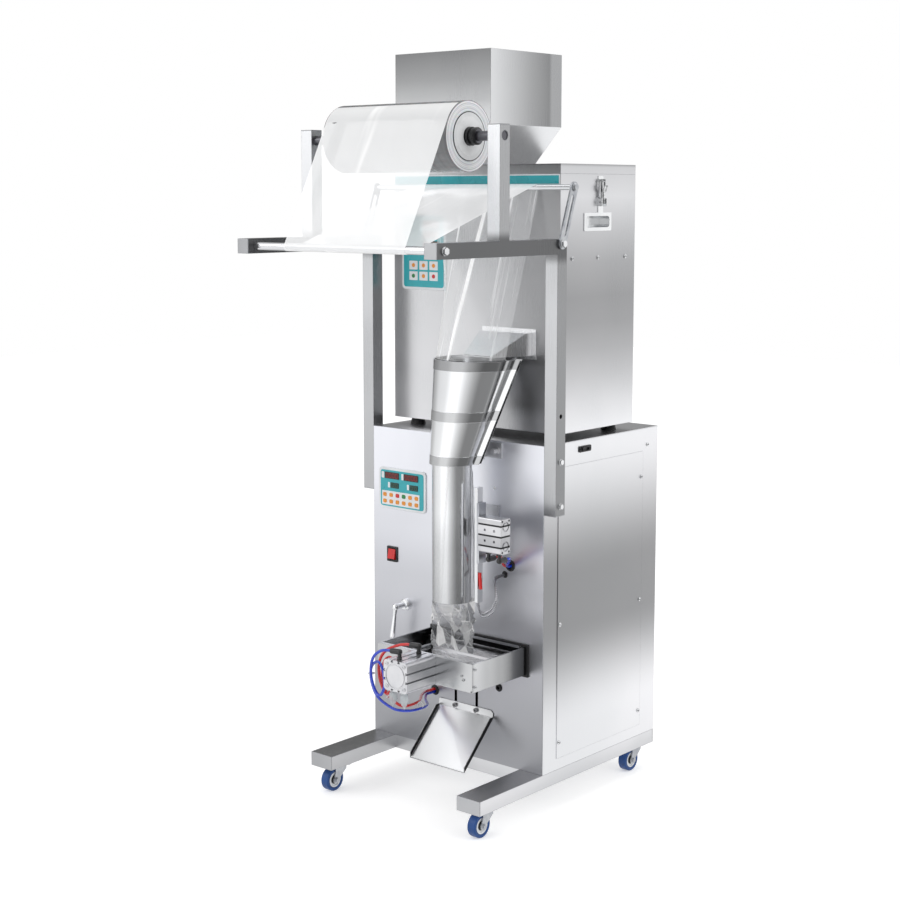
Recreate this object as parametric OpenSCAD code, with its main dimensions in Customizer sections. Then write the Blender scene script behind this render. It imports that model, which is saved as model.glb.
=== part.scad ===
// Pneumatic packaging machine: a floor-standing filling and sealing machine with a
// weighing feeder on top, a film roll stand in front, a forming collar, one vertical
// and one cross sealer, and a discharge chute. Millimetres, +Z up, front towards -Y.

/* [Cabinet] */
// Width of the lower cabinet
cab_w = 473; // [440:1:520]
// Depth of the lower cabinet
cab_d = 409; // [380:1:460]
// Height of the lower cabinet above its rails
cab_h = 690; // [650:1:760]
// Thickness of the cabinet sheet
sheet_t = 1.5; // [1:0.1:2.5]
// Height of the plain band along the top of the cabinet's sides
band_h = 50; // [40:1:60]
// Height of the plain band along the bottom of the cabinet's sides
foot_band_h = 24; // [18:1:40]
// Width of the corner post at the front of each side
front_post_w = 48; // [40:1:60]
// Width of the corner post at the back of each side
rear_post_w = 56; // [40:1:70]
// Overlap of each screwed-on cover over its frame
cover_lap = 9; // [8:1:12]
// Diameter of a panel screw's head
screw_d = 9; // [7:0.5:11]
// Height of a panel screw's head
screw_h = 2.6; // [1.5:0.1:3.5]

/* [Base] */
// Width of a base rail tube
rail_w = 60; // [50:1:70]
// Height of a base rail tube
rail_h = 30; // [24:1:40]
// Wall of the square and rectangular tubes
tube_t = 2; // [1.5:0.1:3]
// How far the base rails reach out in front of the cabinet
rail_reach = 202; // [160:1:240]
// Diameter of a caster wheel
wheel_d = 50; // [44:1:54]
// Width of a caster wheel's tread
wheel_w = 20; // [16:1:26]
// Height of a caster from the floor to its plate's top
caster_h = 58; // [57:1:66]
// Distance of the front casters in front of the cabinet
caster_front = 155; // [130:1:165]
// Distance of the rear casters behind the cabinet's front
caster_rear = 370; // [330:1:380]
// Offset of a caster wheel's axle in front of its swivel axis
caster_trail = 14; // [8:1:18]

/* [Weigher] */
// Width of the weighing feeder's case
case_w = 454; // [420:1:466]
// Depth of the weighing feeder's case
case_d = 264; // [240:1:300]
// Height of the weighing feeder's case with its lid
case_h = 551; // [500:1:600]
// Distance from the cabinet's front to the case's front
case_set = 60; // [58:1:80]
// Height of the rubber feet under the case
foot_h = 16; // [12:1:22]
// Height of the lid's rim
lid_h = 20; // [16:1:30]
// Width of the hopper's square top
hopper_w = 267; // [240:1:290]
// Depth of the hopper's square top
hopper_d = 243; // [220:1:250]
// Height of the hopper's straight part
hopper_h = 155; // [120:1:200]
// Height of the hopper's tapered part
funnel_h = 83; // [60:1:100]
// Width of the hopper's outlet
outlet_w = 183; // [150:1:200]
// Depth of the hopper's outlet
outlet_d = 159; // [130:1:180]
// Distance of the hopper's middle to the left of the machine's middle
hopper_off = 90; // [60:1:92]

/* [Film stand] */
// Side of the film stand's square tube
stand_s = 30; // [25:1:40]
// Height of the foot end of the film stand's legs
leg_foot_z = 636; // [600:1:660]
// Height of the underside of the film stand's arms
arm_z = 1165; // [1120:1:1200]
// How far the arms reach out in front of the cabinet
arm_reach = 365; // [320:1:400]
// Height of the top of the roll uprights
upright_top_z = 1416; // [1400:1:1450]
// Distance of the roll uprights in front of the cabinet
upright_y = 168; // [150:1:200]
// Height of the roll shaft's axis
shaft_z = 1394; // [1385:1:1396]
// Diameter of the roll shaft
shaft_d = 19; // [16:0.5:22]
// Outer diameter of the film roll
roll_d = 137; // [110:1:150]
// Outer diameter of the roll's core
core_d = 95; // [80:1:100]
// Length of the film roll
roll_w = 328; // [300:2:340]
// Diameter of the front guide roller
guide_d = 16; // [12:0.5:20]
// Distance of the front guide roller in front of the cabinet
guide_y = 342; // [300:1:345]
// Diameter of the dancer roller
dancer_d = 12; // [10:0.5:14]
// Length of a dancer arm between its bolts
dancer_len = 118; // [100:1:120]
// Lean of the dancer arms back from upright
dancer_lean = 19; // [10:0.5:19]

/* [Former] */
// Distance of the filling tube's axis to the right of the machine's middle
tube_x = 66; // [60:1:70]
// Distance of the filling tube's axis in front of the cabinet
tube_y = 88; // [84:1:96]
// Outer diameter of the filling tube
tube_d = 80; // [70:1:82]
// Height of the filling tube's lower end
tube_foot_z = 450; // [430:1:500]
// Height of the forming collar's lower edge
collar_z = 737; // [730:1:745]
// Height of the forming collar
collar_h = 213; // [180:1:216]
// Radius of the forming collar's wide top
collar_top_r = 84; // [76:1:86]
// Gap for the film between the filling tube and the forming collar
film_gap = 5; // [4:0.5:8]

/* [Cross sealer] */
// Width of the cross sealer's frame
jaw_box_w = 258; // [250:1:270]
// How far the cross sealer's frame reaches in front of the cabinet
jaw_box_reach = 176; // [170:1:190]
// Height of the cross sealer's frame
jaw_box_h = 59; // [55:1:66]
// Height of the underside of the cross sealer's frame
jaw_box_z = 296; // [286:1:300]
// Opening of each sealing jaw from the middle
jaw_travel = 39.7; // [30:0.1:40]
// Thickness of a jaw from its back to its sealing face
jaw_t = 30; // [24:1:32]
// Height of a jaw
jaw_h = 37; // [30:1:38]
// Diameter of the jaws' guide rods
rod_d = 12; // [10:0.5:14]
// Side of a compact cylinder's square body
cyl_s = 64; // [56:1:68]
// Length of a compact cylinder's body
cyl_len = 86; // [70:1:95]
// Diameter of a compact cylinder's piston rod
piston_rod_d = 16; // [12:0.5:20]

/* [Vertical sealer] */
// Height of the vertical sealing bar
seal_bar_h = 238; // [200:1:240]
// Height of the vertical sealing bar's lower end
seal_bar_z = 457; // [455:1:480]
// Travel of the vertical sealing bar
seal_travel = 22; // [16:0.5:22]
// Length of the twin-rod cylinder's body
twin_len = 60; // [50:1:66]
// Height of the twin-rod cylinder's body
twin_h = 72; // [64:1:80]
// Depth of the twin-rod cylinder's body
twin_d = 30; // [26:1:34]

/* [Chute] */
// Width of the discharge chute
chute_w = 152; // [130:1:170]
// Reach of the discharge chute in front of the cabinet
chute_reach = 96; // [80:1:110]
// Height adjustment of the discharge chute
chute_travel = 45; // [20:1:50]

/* [Hidden] */
$fn = 48;
eps = 0.01;
run_fit = 0.05;       // radial clearance of a running fit
side_gap = 0.4;       // clearance between pieces of different bodies
soft_gap = 0.4;       // clearance of the film from what it runs on
film_t = 0.8;         // thickness of the solid that stands for the film

cab_z = caster_h + rail_h;                 // underside of the cabinet
cab_top = cab_z + cab_h;
case_z = cab_top + foot_h;                 // underside of the weigher's case
case_top = case_z + case_h;
case_y = case_set;
rail_x = cab_w / 2 - rail_w / 2;           // middle of a rail
stand_x = cab_w / 2 + stand_s / 2;         // middle of the film stand's tubes
inlet_out = 12;                            // how far the air inlet stands out of the back
mid_y = (cab_d + inlet_out - arm_reach) / 2;

SIDES = [-1, 1];

// Puts the model with the middle of its outline over the origin
module in_frame() { translate([0, -mid_y, 0]) children(); }

// Box given by its lowest and highest corner
module span(a, b) { translate(a) cube(b - a); }

// Box with rounded vertical edges, centred in X and Y, standing on z = 0
module soft_block(x, y, z, r) {
  linear_extrude(z) rounded(x, y, r);
}

// Rectangle with round corners, centred
module rounded(x, y, r) {
  square([x - 2 * r, y], center = true);
  square([x, y - 2 * r], center = true);
  for (i = SIDES, j = SIDES)
    translate([i * (x / 2 - r), j * (y / 2 - r)]) circle(r);
}

// Turns an outline in Y and Z so that it is drawn out along X
module along_x() { rotate([90, 0, 90]) children(); }

// Draws the children on the right and mirrored on the left
module both_sides() { for (s = SIDES) mirror([s < 0 ? 1 : 0, 0, 0]) children(); }

// Cylinder along X from a to b at a height and a depth
module rod_x(a, b, y, z, d) {
  translate([a, y, z]) rotate([0, 90, 0]) cylinder(h = b - a, d = d);
}

// Cylinder along Y from a to b
module rod_y(a, b, x, z, d) {
  translate([x, a, z]) rotate([-90, 0, 0]) cylinder(h = b - a, d = d);
}

// Square tube along Z, centred, open at both ends
module square_tube(s, w, h, t) {
  difference() {
    translate([-s / 2, -w / 2, 0]) cube([s, w, h]);
    translate([-s / 2 + t, -w / 2 + t, -1]) cube([s - 2 * t, w - 2 * t, h + 2]);
  }
}

// Pan-head screw with a cross recess, its head's seat at z = 0
module pan_screw(d, h) {
  difference() {
    union() {
      cylinder(h = h * 0.5, d = d);
      translate([0, 0, h * 0.5]) cylinder(h = h * 0.5, d1 = d, d2 = d * 0.66);
    }
    for (a = [0, 90]) rotate([0, 0, a])
      translate([-d * 0.25, -d * 0.06, h * 0.5]) cube([d * 0.5, d * 0.12, h]);
  }
}

// Hexagon-head bolt with a washer, its seat at z = 0
module hex_bolt(af, h) {
  cylinder(h = 1, d = af * 1.3);
  translate([0, 0, 1]) cylinder(h = h, d = af * 1.15, $fn = 6);
}

// Socket-head screw, its seat at z = 0
module socket_screw(d, h) {
  difference() {
    cylinder(h = h, d = d);
    translate([0, 0, h * 0.45]) cylinder(h = h, d = d * 0.5, $fn = 6);
  }
}

// Base

cross_in = 2;          // set-back of the front cross tube from the cabinet's front
cap_t = 2;             // thickness of a tube's end cap
cap_skirt = 8;         // depth of a cap's plug in its tube
cap_fit = 0.2;         // clearance of a cap's plug

module base_rails() {
  color("silver") {
    for (s = SIDES) translate([s * rail_x, -rail_reach + cap_t, caster_h + rail_h / 2])
      rotate([-90, 0, 0])
        square_tube(rail_w, rail_h, cab_d + rail_reach - 2 * cap_t, tube_t);
    for (y = [cross_in, cab_d - rail_h - cross_in])
      translate([-rail_x + rail_w / 2, y + rail_h / 2, caster_h + rail_h / 2])
        rotate([0, 90, 0]) square_tube(rail_h, rail_h, 2 * rail_x - rail_w, tube_t);
  }
}

// End cap of a tube: a plate with a plug, its plate's inner face at z = 0
module tube_cap(s, w) {
  translate([-s / 2, -w / 2, 0]) cube([s, w, cap_t]);
  plug_s = s - 2 * tube_t - 2 * cap_fit;
  plug_w = w - 2 * tube_t - 2 * cap_fit;
  translate([-plug_s / 2, -plug_w / 2, -cap_skirt]) cube([plug_s, plug_w, cap_skirt + eps]);
}

module tube_caps() {
  color("gainsboro") {
    for (s = SIDES) {
      translate([s * rail_x, -rail_reach + cap_t, caster_h + rail_h / 2])
        rotate([90, 0, 0]) tube_cap(rail_w, rail_h);
      translate([s * rail_x, cab_d - cap_t, caster_h + rail_h / 2])
        rotate([-90, 0, 0]) tube_cap(rail_w, rail_h);
      translate([s * stand_x, -arm_reach + cap_t, arm_z + stand_s / 2])
        rotate([90, 0, 0]) tube_cap(stand_s, stand_s);
      translate([s * stand_x, -upright_y, upright_top_z - cap_t])
        tube_cap(stand_s, stand_s);
      translate([s * stand_x, stand_s / 2, leg_foot_z + cap_t])
        rotate([180, 0, 0]) tube_cap(stand_s, stand_s);
    }
  }
}

// Casters

plate_s = 52;          // side of a caster's plate
plate_t = 2.5;
race_d = 32;           // swivel race
race_h = 1.8;
fork_t = 2.5;
fork_clear = 1.2;      // gap between a wheel's side and its fork
axle_d = 8;
caster_spots = [["front_left", -1, -caster_front], ["front_right", 1, -caster_front],
  ["rear_left", -1, caster_rear], ["rear_right", 1, caster_rear]];
fork_top = caster_h - plate_t - race_h - side_gap;   // top of a fork's bridge

module at_caster(i) {
  translate([caster_spots[i][1] * rail_x, caster_spots[i][2], 0]) rotate([0, 0, 180]) children();
}

module caster_plates() {
  color("silver") for (i = [0:3]) at_caster(i) difference() {
    union() {
      translate([0, 0, caster_h - plate_t]) soft_block(plate_s, plate_s, plate_t, 5);
      translate([0, 0, caster_h - plate_t - race_h]) cylinder(h = race_h + eps, d = race_d);
      for (u = SIDES, v = SIDES) translate([u * plate_s * 0.36, v * plate_s * 0.36,
        caster_h - plate_t]) rotate([180, 0, 0]) hex_bolt(6, 2.2);
    }
    translate([0, 0, fork_top - 5]) cylinder(h = 9.4, d = axle_d + 2 * run_fit);
  }
}

// Swivel fork: a bridge, two cheeks that taper to the axle, and the king pin
module fork() {
  inner = wheel_w + 2 * fork_clear;
  axle_z = wheel_d / 2;
  color("silver") {
    translate([0, 0, fork_top - fork_t]) soft_block(inner + 2 * fork_t, race_d, fork_t, 3);
    translate([0, 0, fork_top - eps]) cylinder(h = 3.6, d = axle_d);
    for (s = SIDES) translate([s * (inner + fork_t) / 2, 0, 0]) rotate([90, 0, 90])
      linear_extrude(fork_t, center = true) difference() {
        union() {
          polygon([[-race_d / 2, fork_top - fork_t], [race_d / 2, fork_top - fork_t],
            [race_d / 2, fork_top - 12], [caster_trail + 7, axle_z],
            [caster_trail - 7, axle_z], [-race_d / 2, fork_top - 9]]);
          translate([caster_trail, axle_z]) circle(8);
        }
        translate([caster_trail, axle_z]) circle(d = axle_d);
      }
    translate([0, caster_trail, axle_z]) rotate([0, 90, 0])
      cylinder(h = inner + 2 * fork_t + 3, d = axle_d, center = true);
    for (s = SIDES) translate([s * (inner / 2 + fork_t), caster_trail, axle_z])
      rotate([0, s * 90, 0]) hex_bolt(9, 3);
  }
}

// Wheel: a hub with a raised ring, and a rounded tread around it
module wheel() {
  hub_r = wheel_d / 2 - 7;
  translate([0, caster_trail, wheel_d / 2]) rotate([0, 90, 0]) {
    color("white") rotate_extrude() polygon([
      [axle_d / 2 + run_fit, -wheel_w / 2], [8, -wheel_w / 2], [9, -wheel_w / 2 + 3],
      [hub_r - 5, -wheel_w / 2 + 3], [hub_r - 4, -wheel_w / 2 + 1],
      [hub_r, -wheel_w / 2 + 1], [hub_r, wheel_w / 2 - 1], [hub_r - 4, wheel_w / 2 - 1],
      [hub_r - 5, wheel_w / 2 - 3], [9, wheel_w / 2 - 3], [8, wheel_w / 2],
      [axle_d / 2 + run_fit, wheel_w / 2]]);
    color("royalblue") rotate_extrude() difference() {
      translate([hub_r, 0]) rotate(-90) translate([0, (wheel_d / 2 - hub_r) / 2])
        rounded(wheel_w, wheel_d / 2 - hub_r, 2.5);
      translate([hub_r - 9, -wheel_w]) square([9 + run_fit, 2 * wheel_w]);
    }
  }
}

// Cabinet

cover_t = 1.2;
lip = 14;              // width of the folded lips behind the front panel
back_frame = 20;       // width of the frame around the rear cover

// Folded cabinet body: open at the front, with windows in the sides and the back
module cabinet_frame() {
  color("lightgray") difference() {
    span([-cab_w / 2, sheet_t, cab_z], [cab_w / 2, cab_d, cab_top]);
    span([-cab_w / 2 + sheet_t, 2 * sheet_t, cab_z + sheet_t],
      [cab_w / 2 - sheet_t, cab_d - sheet_t, cab_top - sheet_t]);
    span([-cab_w / 2 + lip, 0, cab_z + lip], [cab_w / 2 - lip, 3 * sheet_t, cab_top - lip]);
    span([-cab_w, front_post_w + cover_lap, cab_z + foot_band_h + cover_lap],
      [cab_w, cab_d - rear_post_w - cover_lap, cab_top - band_h - cover_lap]);
    span([-cab_w / 2 + back_frame, cab_d - 2 * sheet_t, cab_z + back_frame],
      [cab_w / 2 - back_frame, cab_d + 1, cab_top - back_frame]);
    connector_holes();
  }
}

panel_y = 0;           // front face of the front panel
switch_x = -181;
switch_z = 498;
switch_w = 30;
switch_h = 34;
rose_x = -142;
rose_z = 391;
rose_d = 26;
lower_panel = [-150, 644.5, 137, 91];      // middle in X, middle in Z, width, height
upper_panel = [-139, 1160.5, 126, 165];
panel_plate_t = 3;
grommets = [[-57.5, 214, 20], [121, 254, 15], [150, 520, 22], [135.5, 499, 12]];
jaw_z = jaw_box_z + jaw_box_h / 2;         // height of the jaws' guide rods
jaw_x0 = tube_x - jaw_box_w / 2;
jaw_x1 = tube_x + jaw_box_w / 2;
jaw_side_t = 4;
jaw_flange = 15;
chute_x = 31;
chute_top_z = 201;
chute_flange_h = 16;
chute_screw_z = chute_top_z - chute_flange_h / 2;
slot_pitch = 58.4;
slot_w = 7;

module front_panel() {
  color("gainsboro") difference() {
    span([-cab_w / 2, panel_y, cab_z], [cab_w / 2, sheet_t, cab_top]);
    span([lower_panel[0] - lower_panel[2] / 2 + 12, -1, lower_panel[1] - lower_panel[3] / 2 + 12],
      [lower_panel[0] + lower_panel[2] / 2 - 12, 5, lower_panel[1] + lower_panel[3] / 2 - 12]);
    span([switch_x - switch_w / 2 + 3, -1, switch_z - switch_h / 2 + 3],
      [switch_x + switch_w / 2 - 3, 5, switch_z + switch_h / 2 - 3]);
    rod_y(-1, 5, rose_x, rose_z, 16 + 2 * cap_fit);
    for (g = grommets) rod_y(-1, 5, g[0], g[1], g[2] - 4);
    span([jaw_x0 + jaw_side_t + jaw_flange, -1, jaw_box_z + 7],
      [jaw_x1 - jaw_side_t - jaw_flange, 5, jaw_box_z + jaw_box_h - 7]);
    for (s = SIDES) translate([chute_x + s * slot_pitch / 2, 0, chute_screw_z]) {
      for (z = [0, chute_travel]) rod_y(-1, 5, 0, z, slot_w);
      span([-slot_w / 2, -1, 0], [slot_w / 2, 5, chute_travel]);
    }
  }
}

// Covers: flat sheets with a folded edge, screwed over the windows
module side_covers() {
  color("lightgray") for (s = SIDES)
    translate([s * (cab_w / 2 + cover_t / 2), 0, 0])
      span([-cover_t / 2, front_post_w, cab_z + foot_band_h],
        [cover_t / 2, cab_d - rear_post_w, cab_top - band_h]);
}

louver_n = 7;
louver_w = 120;
louver_pitch = 14;

module rear_cover() {
  y = cab_d;
  color("lightgray") difference() {
    union() {
      span([-cab_w / 2 + back_frame - cover_lap, y, cab_z + back_frame - cover_lap],
        [cab_w / 2 - back_frame + cover_lap, y + cover_t, cab_top - back_frame + cover_lap]);
      for (i = [0:louver_n - 1]) translate([0, y + cover_t, cab_top - 150 - i * louver_pitch])
        louver(louver_w, 4, 8);
    }
    for (i = [0:louver_n - 1]) translate([0, y, cab_top - 150 - i * louver_pitch])
      span([-louver_w / 2 + 1, -1, -6.5], [louver_w / 2 - 1, 1.1, -1.5]);
    for (p = inlet_spots) translate([p[0], 0, p[1]]) rod_y(y - 1, y + 3, 0, 0, p[2]);
  }
}

// Pressed louver: a hood that opens downwards
module louver(w, out, h) {
  difference() {
    translate([-w / 2, 0, 0]) rotate([90, 0, 90]) linear_extrude(w)
      polygon([[-eps, 0], [out, -h + 1], [out, -h], [-eps, -h]]);
    translate([-w / 2 + 1, 0, 0]) rotate([90, 0, 90]) linear_extrude(w - 2)
      polygon([[-2, -1.2], [out - 1, -h + 1], [out - 1, -h - 1], [-2, -h - 1]]);
  }
}

side_screw_y = [front_post_w + cover_lap * 0.8, cab_d - rear_post_w - cover_lap * 0.8];
side_screw_z = [cab_z + foot_band_h + 34, cab_z + cab_h * 0.45, cab_top - band_h - 56];

module fasteners() {
  color("silver") {
    for (s = SIDES, y = side_screw_y, z = side_screw_z)
      translate([s * (cab_w / 2 + cover_t), y, z]) rotate([0, s * 90, 0])
        pan_screw(screw_d, screw_h);
    for (s = SIDES) translate([s * cab_w / 2, cab_d - 39, cab_top - 37.5])
      rotate([0, s * 90, 0]) pan_screw(screw_d, screw_h);
    for (s = SIDES, z = [cab_z + back_frame, cab_z + cab_h / 2, cab_top - back_frame])
      translate([s * (cab_w / 2 - back_frame), cab_d + cover_t, z]) rotate([-90, 0, 0])
        pan_screw(screw_d, screw_h);
    // bolts through the film stand's legs and the holders on the weigher's side
    for (s = SIDES, z = [leg_foot_z + 20, leg_foot_z + 111])
      translate([s * (stand_x + stand_s / 2), stand_s / 2, z]) rotate([0, s * 90, 0])
        hex_bolt(10, 4);
    for (s = SIDES, y = [41, 131, 229]) translate([s * case_w / 2, case_y + y, case_z + 359])
      rotate([0, s * 90, 0]) pan_screw(screw_d, screw_h);
    translate([tube_x + 42, panel_y, cab_top - 100]) rotate([90, 0, 0]) pan_screw(7, 2);
    for (z = [-20, 33]) translate([twin_x0 - 66, -4, twin_z + z]) rotate([90, 0, 0]) pan_screw(7, 2);
    stand_bolts();
  }
}

// Control panel: a framed plate with round corners, displays and keys raised on it
module key_panel(p, cols, rows, key_z, pitch, displays) {
  translate([p[0], 0, p[1]]) rotate([90, 0, 0]) {
    color("white") soft_block(p[2], p[3], panel_plate_t, 8);
    color("teal") translate([0, 0, panel_plate_t - eps])
      soft_block(p[2] - 12, p[3] - 12, 0.6, 5);
    color("darkorange") for (i = [0:cols - 1], j = [0:rows - 1])
      translate([(i - (cols - 1) / 2) * pitch[0], key_z - j * pitch[1], panel_plate_t + 0.5])
        soft_block(pitch[0] - 3, pitch[1] - 3, 0.9, 2.5);
    color("black") for (d = displays)
      translate([d[0], d[1], panel_plate_t + 0.5]) soft_block(d[2], d[3], 1.2, 1.5);
  }
}

module control_panels() {
  translate([0, panel_y, 0])
    key_panel(lower_panel, 6, 2, -15, [18.5, 17], [[-27, 29, 42, 16], [27, 29, 42, 16],
      [-39, 7, 20, 12], [13, 7, 20, 12]]);
  translate([0, case_y, 0])
    key_panel(upper_panel, 3, 2, -40, [33, 27], [[27, 60, 52, 25], [27, 29, 52, 25],
      [27, -2, 52, 25]]);
}

// Rocker switch: a bezel with its box behind the panel, and the rocker on its pin
rocker_w = 20;
rocker_h = 24;
rocker_throw = 22;
bezel_t = 2.5;
rocker_pin = 1.6;

module switch_bezel() {
  color("black") translate([switch_x, panel_y, switch_z]) rotate([90, 0, 0]) difference() {
    union() {
      soft_block(switch_w, switch_h, bezel_t, 2);
      translate([0, 0, -18]) soft_block(switch_w - 7, switch_h - 7, 18 + eps, 1);
    }
    translate([0, 0, -12]) soft_block(rocker_w + 1, rocker_h + 2, 20, 0.5);
    rod_x(-rocker_w / 2 - 2, rocker_w / 2 + 2, 0, bezel_t - 1, rocker_pin + 2 * run_fit);
  }
}

module rocker_switch() {
  color("red") translate([switch_x, panel_y - bezel_t + 1, switch_z]) {
    rotate([-rocker_throw / 2, 0, 0]) along_x() linear_extrude(rocker_w, center = true) difference() {
      circle(rocker_h / 2 - 0.6);
      translate([-rocker_h - 3.6, -rocker_h]) square([rocker_h, 2 * rocker_h]);
      translate([4, -rocker_h]) square([rocker_h, 2 * rocker_h]);
    }
    rod_x(-rocker_w / 2 - 1.5, rocker_w / 2 + 1.5, 0, 0, rocker_pin);
  }
}

// Chrome lever on a round rose: a stem, a round elbow and a tapered grip
stem_out = 34;
grip_len = 66;
lever_lean = 8;

module lever_rose() {
  color("silver") translate([rose_x, panel_y, rose_z]) rotate([90, 0, 0]) rotate_extrude()
    polygon([[6, -8], [6, 9], [rose_d / 2 - 3, 8], [rose_d / 2, 5], [rose_d / 2, 0], [8, 0], [8, -8]]);
}

module lever() {
  color("silver") translate([rose_x, panel_y, rose_z]) {
    rod_y(-stem_out, 9, 0, 0, 2 * (6 - run_fit));
    translate([0, -stem_out, 0]) sphere(7.5);
    translate([0, -stem_out, 0]) rotate([0, 180 + lever_lean, 0]) {
      cylinder(h = grip_len * 0.3, r1 = 5.5, r2 = 4.2);
      translate([0, 0, grip_len * 0.3 - eps]) cylinder(h = grip_len * 0.7, r1 = 4.2, r2 = 6.5);
      translate([0, 0, grip_len]) sphere(6.5);
    }
    rod_y(8 + side_gap, 11, 0, 0, 18);
  }
}

module rubber_grommets() {
  color([0.1, 0.1, 0.1]) {
    for (g = grommets) translate([g[0], panel_y, g[1]]) rotate([90, 0, 0])
      rotate_extrude() polygon([[g[2] / 2 - 3.6, -4], [g[2] / 2 - 3.6, 3.5], [g[2] / 2 - 1, 3.5],
        [g[2] / 2 + 1.5, 0], [g[2] / 2 - 2, 0], [g[2] / 2 - 2, -4]]);
    // rubber trim around the cross sealer's frame
    difference() {
      span([jaw_x0 - 5, panel_y - 4, jaw_box_z - 5], [jaw_x1 + 5, panel_y, jaw_box_z + jaw_box_h + 5]);
      span([jaw_x0 - 0.2, panel_y - 9, jaw_box_z - 0.2],
        [jaw_x1 + 0.2, panel_y + 1, jaw_box_z + jaw_box_h + 0.2]);
    }
  }
}

// Connectors: a data socket on the right side, and the air and power inlets at the back
socket_y = 138;
socket_z = cab_top - 20;
inlet_spots = [[120, cab_z + 60, 14], [170, cab_z + 60, 22]];

module connector_holes() {
  translate([cab_w / 2, socket_y, socket_z]) rotate([90, 0, 90])
    linear_extrude(8, center = true) rounded(26, 9, 3);
}

module connectors() {
  color([0.12, 0.12, 0.13]) {
    translate([cab_w / 2, socket_y, socket_z]) rotate([90, 0, 90]) {
      difference() {
        union() {
          linear_extrude(2) rounded(42, 13, 3);
          linear_extrude(5) rounded(25, 9, 4);
          translate([0, 0, -6]) linear_extrude(6 + eps) rounded(24, 8, 2.5);
        }
        translate([0, 0, 1.5]) linear_extrude(5) rounded(21, 6, 2.5);
      }
      for (s = SIDES) translate([s * 17, 0, 2]) pan_screw(5, 1.6);
    }
    // air inlet: a bulkhead push-in fitting
    translate([inlet_spots[0][0], cab_d + cover_t, inlet_spots[0][1]]) rotate([-90, 0, 0])
      difference() {
        union() {
          translate([0, 0, -14]) cylinder(h = 14 + eps, d = 13.6);
          cylinder(h = 5, d = 22, $fn = 6);
          cylinder(h = inlet_out - cover_t, d = 16);
        }
        translate([0, 0, -20]) cylinder(h = 50, d = 8);
      }
    // power inlet: a round three-pin socket
    translate([inlet_spots[1][0], cab_d + cover_t, inlet_spots[1][1]]) rotate([-90, 0, 0]) {
      difference() {
        union() {
          translate([0, 0, -16]) cylinder(h = 16 + eps, d = 21.6);
          cylinder(h = 3, d = 30);
        }
        translate([0, 0, -12]) cylinder(h = 20, d = 17);
      }
      for (a = [90, 210, 330]) rotate([0, 0, a]) translate([5, 0, -13]) cylinder(h = 11, d = 2);
    }
  }
}

// Weigher

foot_spots = [for (x = [-1, 1], y = [32, case_d - 32]) [x * (case_w / 2 - 40), case_y + y]];

module weigher_feet() {
  color([0.1, 0.1, 0.1]) for (p = foot_spots)
    translate([p[0], p[1], cab_top]) cylinder(h = foot_h, d1 = 34, d2 = 26);
}

spout_x0 = 34;
spout_w = 124;
spout_z = 953;
spout_h = 47;
handle_y = case_y + 128;
handle_z = case_z + 433;
handle_w = 96;
handle_h = 38;
handle_deep = 26;

module weigher_case() {
  wall_top = case_top - lid_h;
  color("gainsboro") difference() {
    span([-case_w / 2, case_y, case_z], [case_w / 2, case_y + case_d, wall_top]);
    span([-case_w / 2 + sheet_t, case_y + sheet_t, case_z + sheet_t],
      [case_w / 2 - sheet_t, case_y + case_d - sheet_t, wall_top + 1]);
    span([spout_x0 + 10, case_y - 1, spout_z + 6],
      [spout_x0 + spout_w - 10, case_y + 3, spout_z + spout_h - 4]);
    for (s = SIDES) span([s * case_w / 2 - 3, handle_y - handle_w / 2 + 5, handle_z - handle_h / 2 + 5],
      [s * case_w / 2 + 3, handle_y + handle_w / 2 - 5, handle_z + handle_h / 2 - 5]);
    span([upper_panel[0] - 40, case_y - 1, upper_panel[1] - 50],
      [upper_panel[0] + 40, case_y + 3, upper_panel[1] + 50]);
  }
}

module weigher_lid() {
  rim_z = case_top - lid_h;
  color("gainsboro") difference() {
    span([-case_w / 2, case_y, rim_z], [case_w / 2, case_y + case_d, case_top]);
    span([-case_w / 2 + sheet_t, case_y + sheet_t, rim_z - 1],
      [case_w / 2 - sheet_t, case_y + case_d - sheet_t, case_top - sheet_t]);
    span([-hopper_off - outlet_w / 2 + 6, hopper_y - outlet_d / 2 + 6, case_top - 5],
      [-hopper_off + outlet_w / 2 - 6, hopper_y + outlet_d / 2 - 6, case_top + 5]);
  }
}

latch_y = case_y + 137;
latch_base_z = case_top - lid_h - 58;      // pivot height of the latch levers
latch_pin_d = 4;
latch_reach = 46;                          // from the pivot to the bail's top bar
keeper_out = 6;

// Recessed handles, latch brackets and keepers on the weigher's sides
module case_hardware() {
  color("silver") both_sides() {
    translate([case_w / 2, 0, 0]) {
      translate([0, handle_y, handle_z]) handle_cup();
      // latch bracket: a plate with two ears
      translate([0, latch_y, latch_base_z]) {
        span([0, -9, -22], [1.5, 9, 10]);
        for (t = SIDES) difference() {
          translate([0, t * 8 - 1, 0]) span([0, 0, -8], [11, 2, 8]);
          translate([7, 0, 0]) rod_y(-12, 12, 0, 0, latch_pin_d + 2 * run_fit);
        }
      }
      // keeper: a ledge on the lid's rim
      translate([0, latch_y, latch_base_z + latch_reach]) {
        span([0, -9, -5.4], [1.5, 9, 8]);
        translate([0, -3, 0]) rotate([90, 0, 0]) mirror([0, 0, 1]) linear_extrude(6)
          polygon([[1, -5.4], [keeper_out + 4, -3.4], [keeper_out + 4, -2.4], [1, -2.4]]);
      }
    }
  }
}

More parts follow.
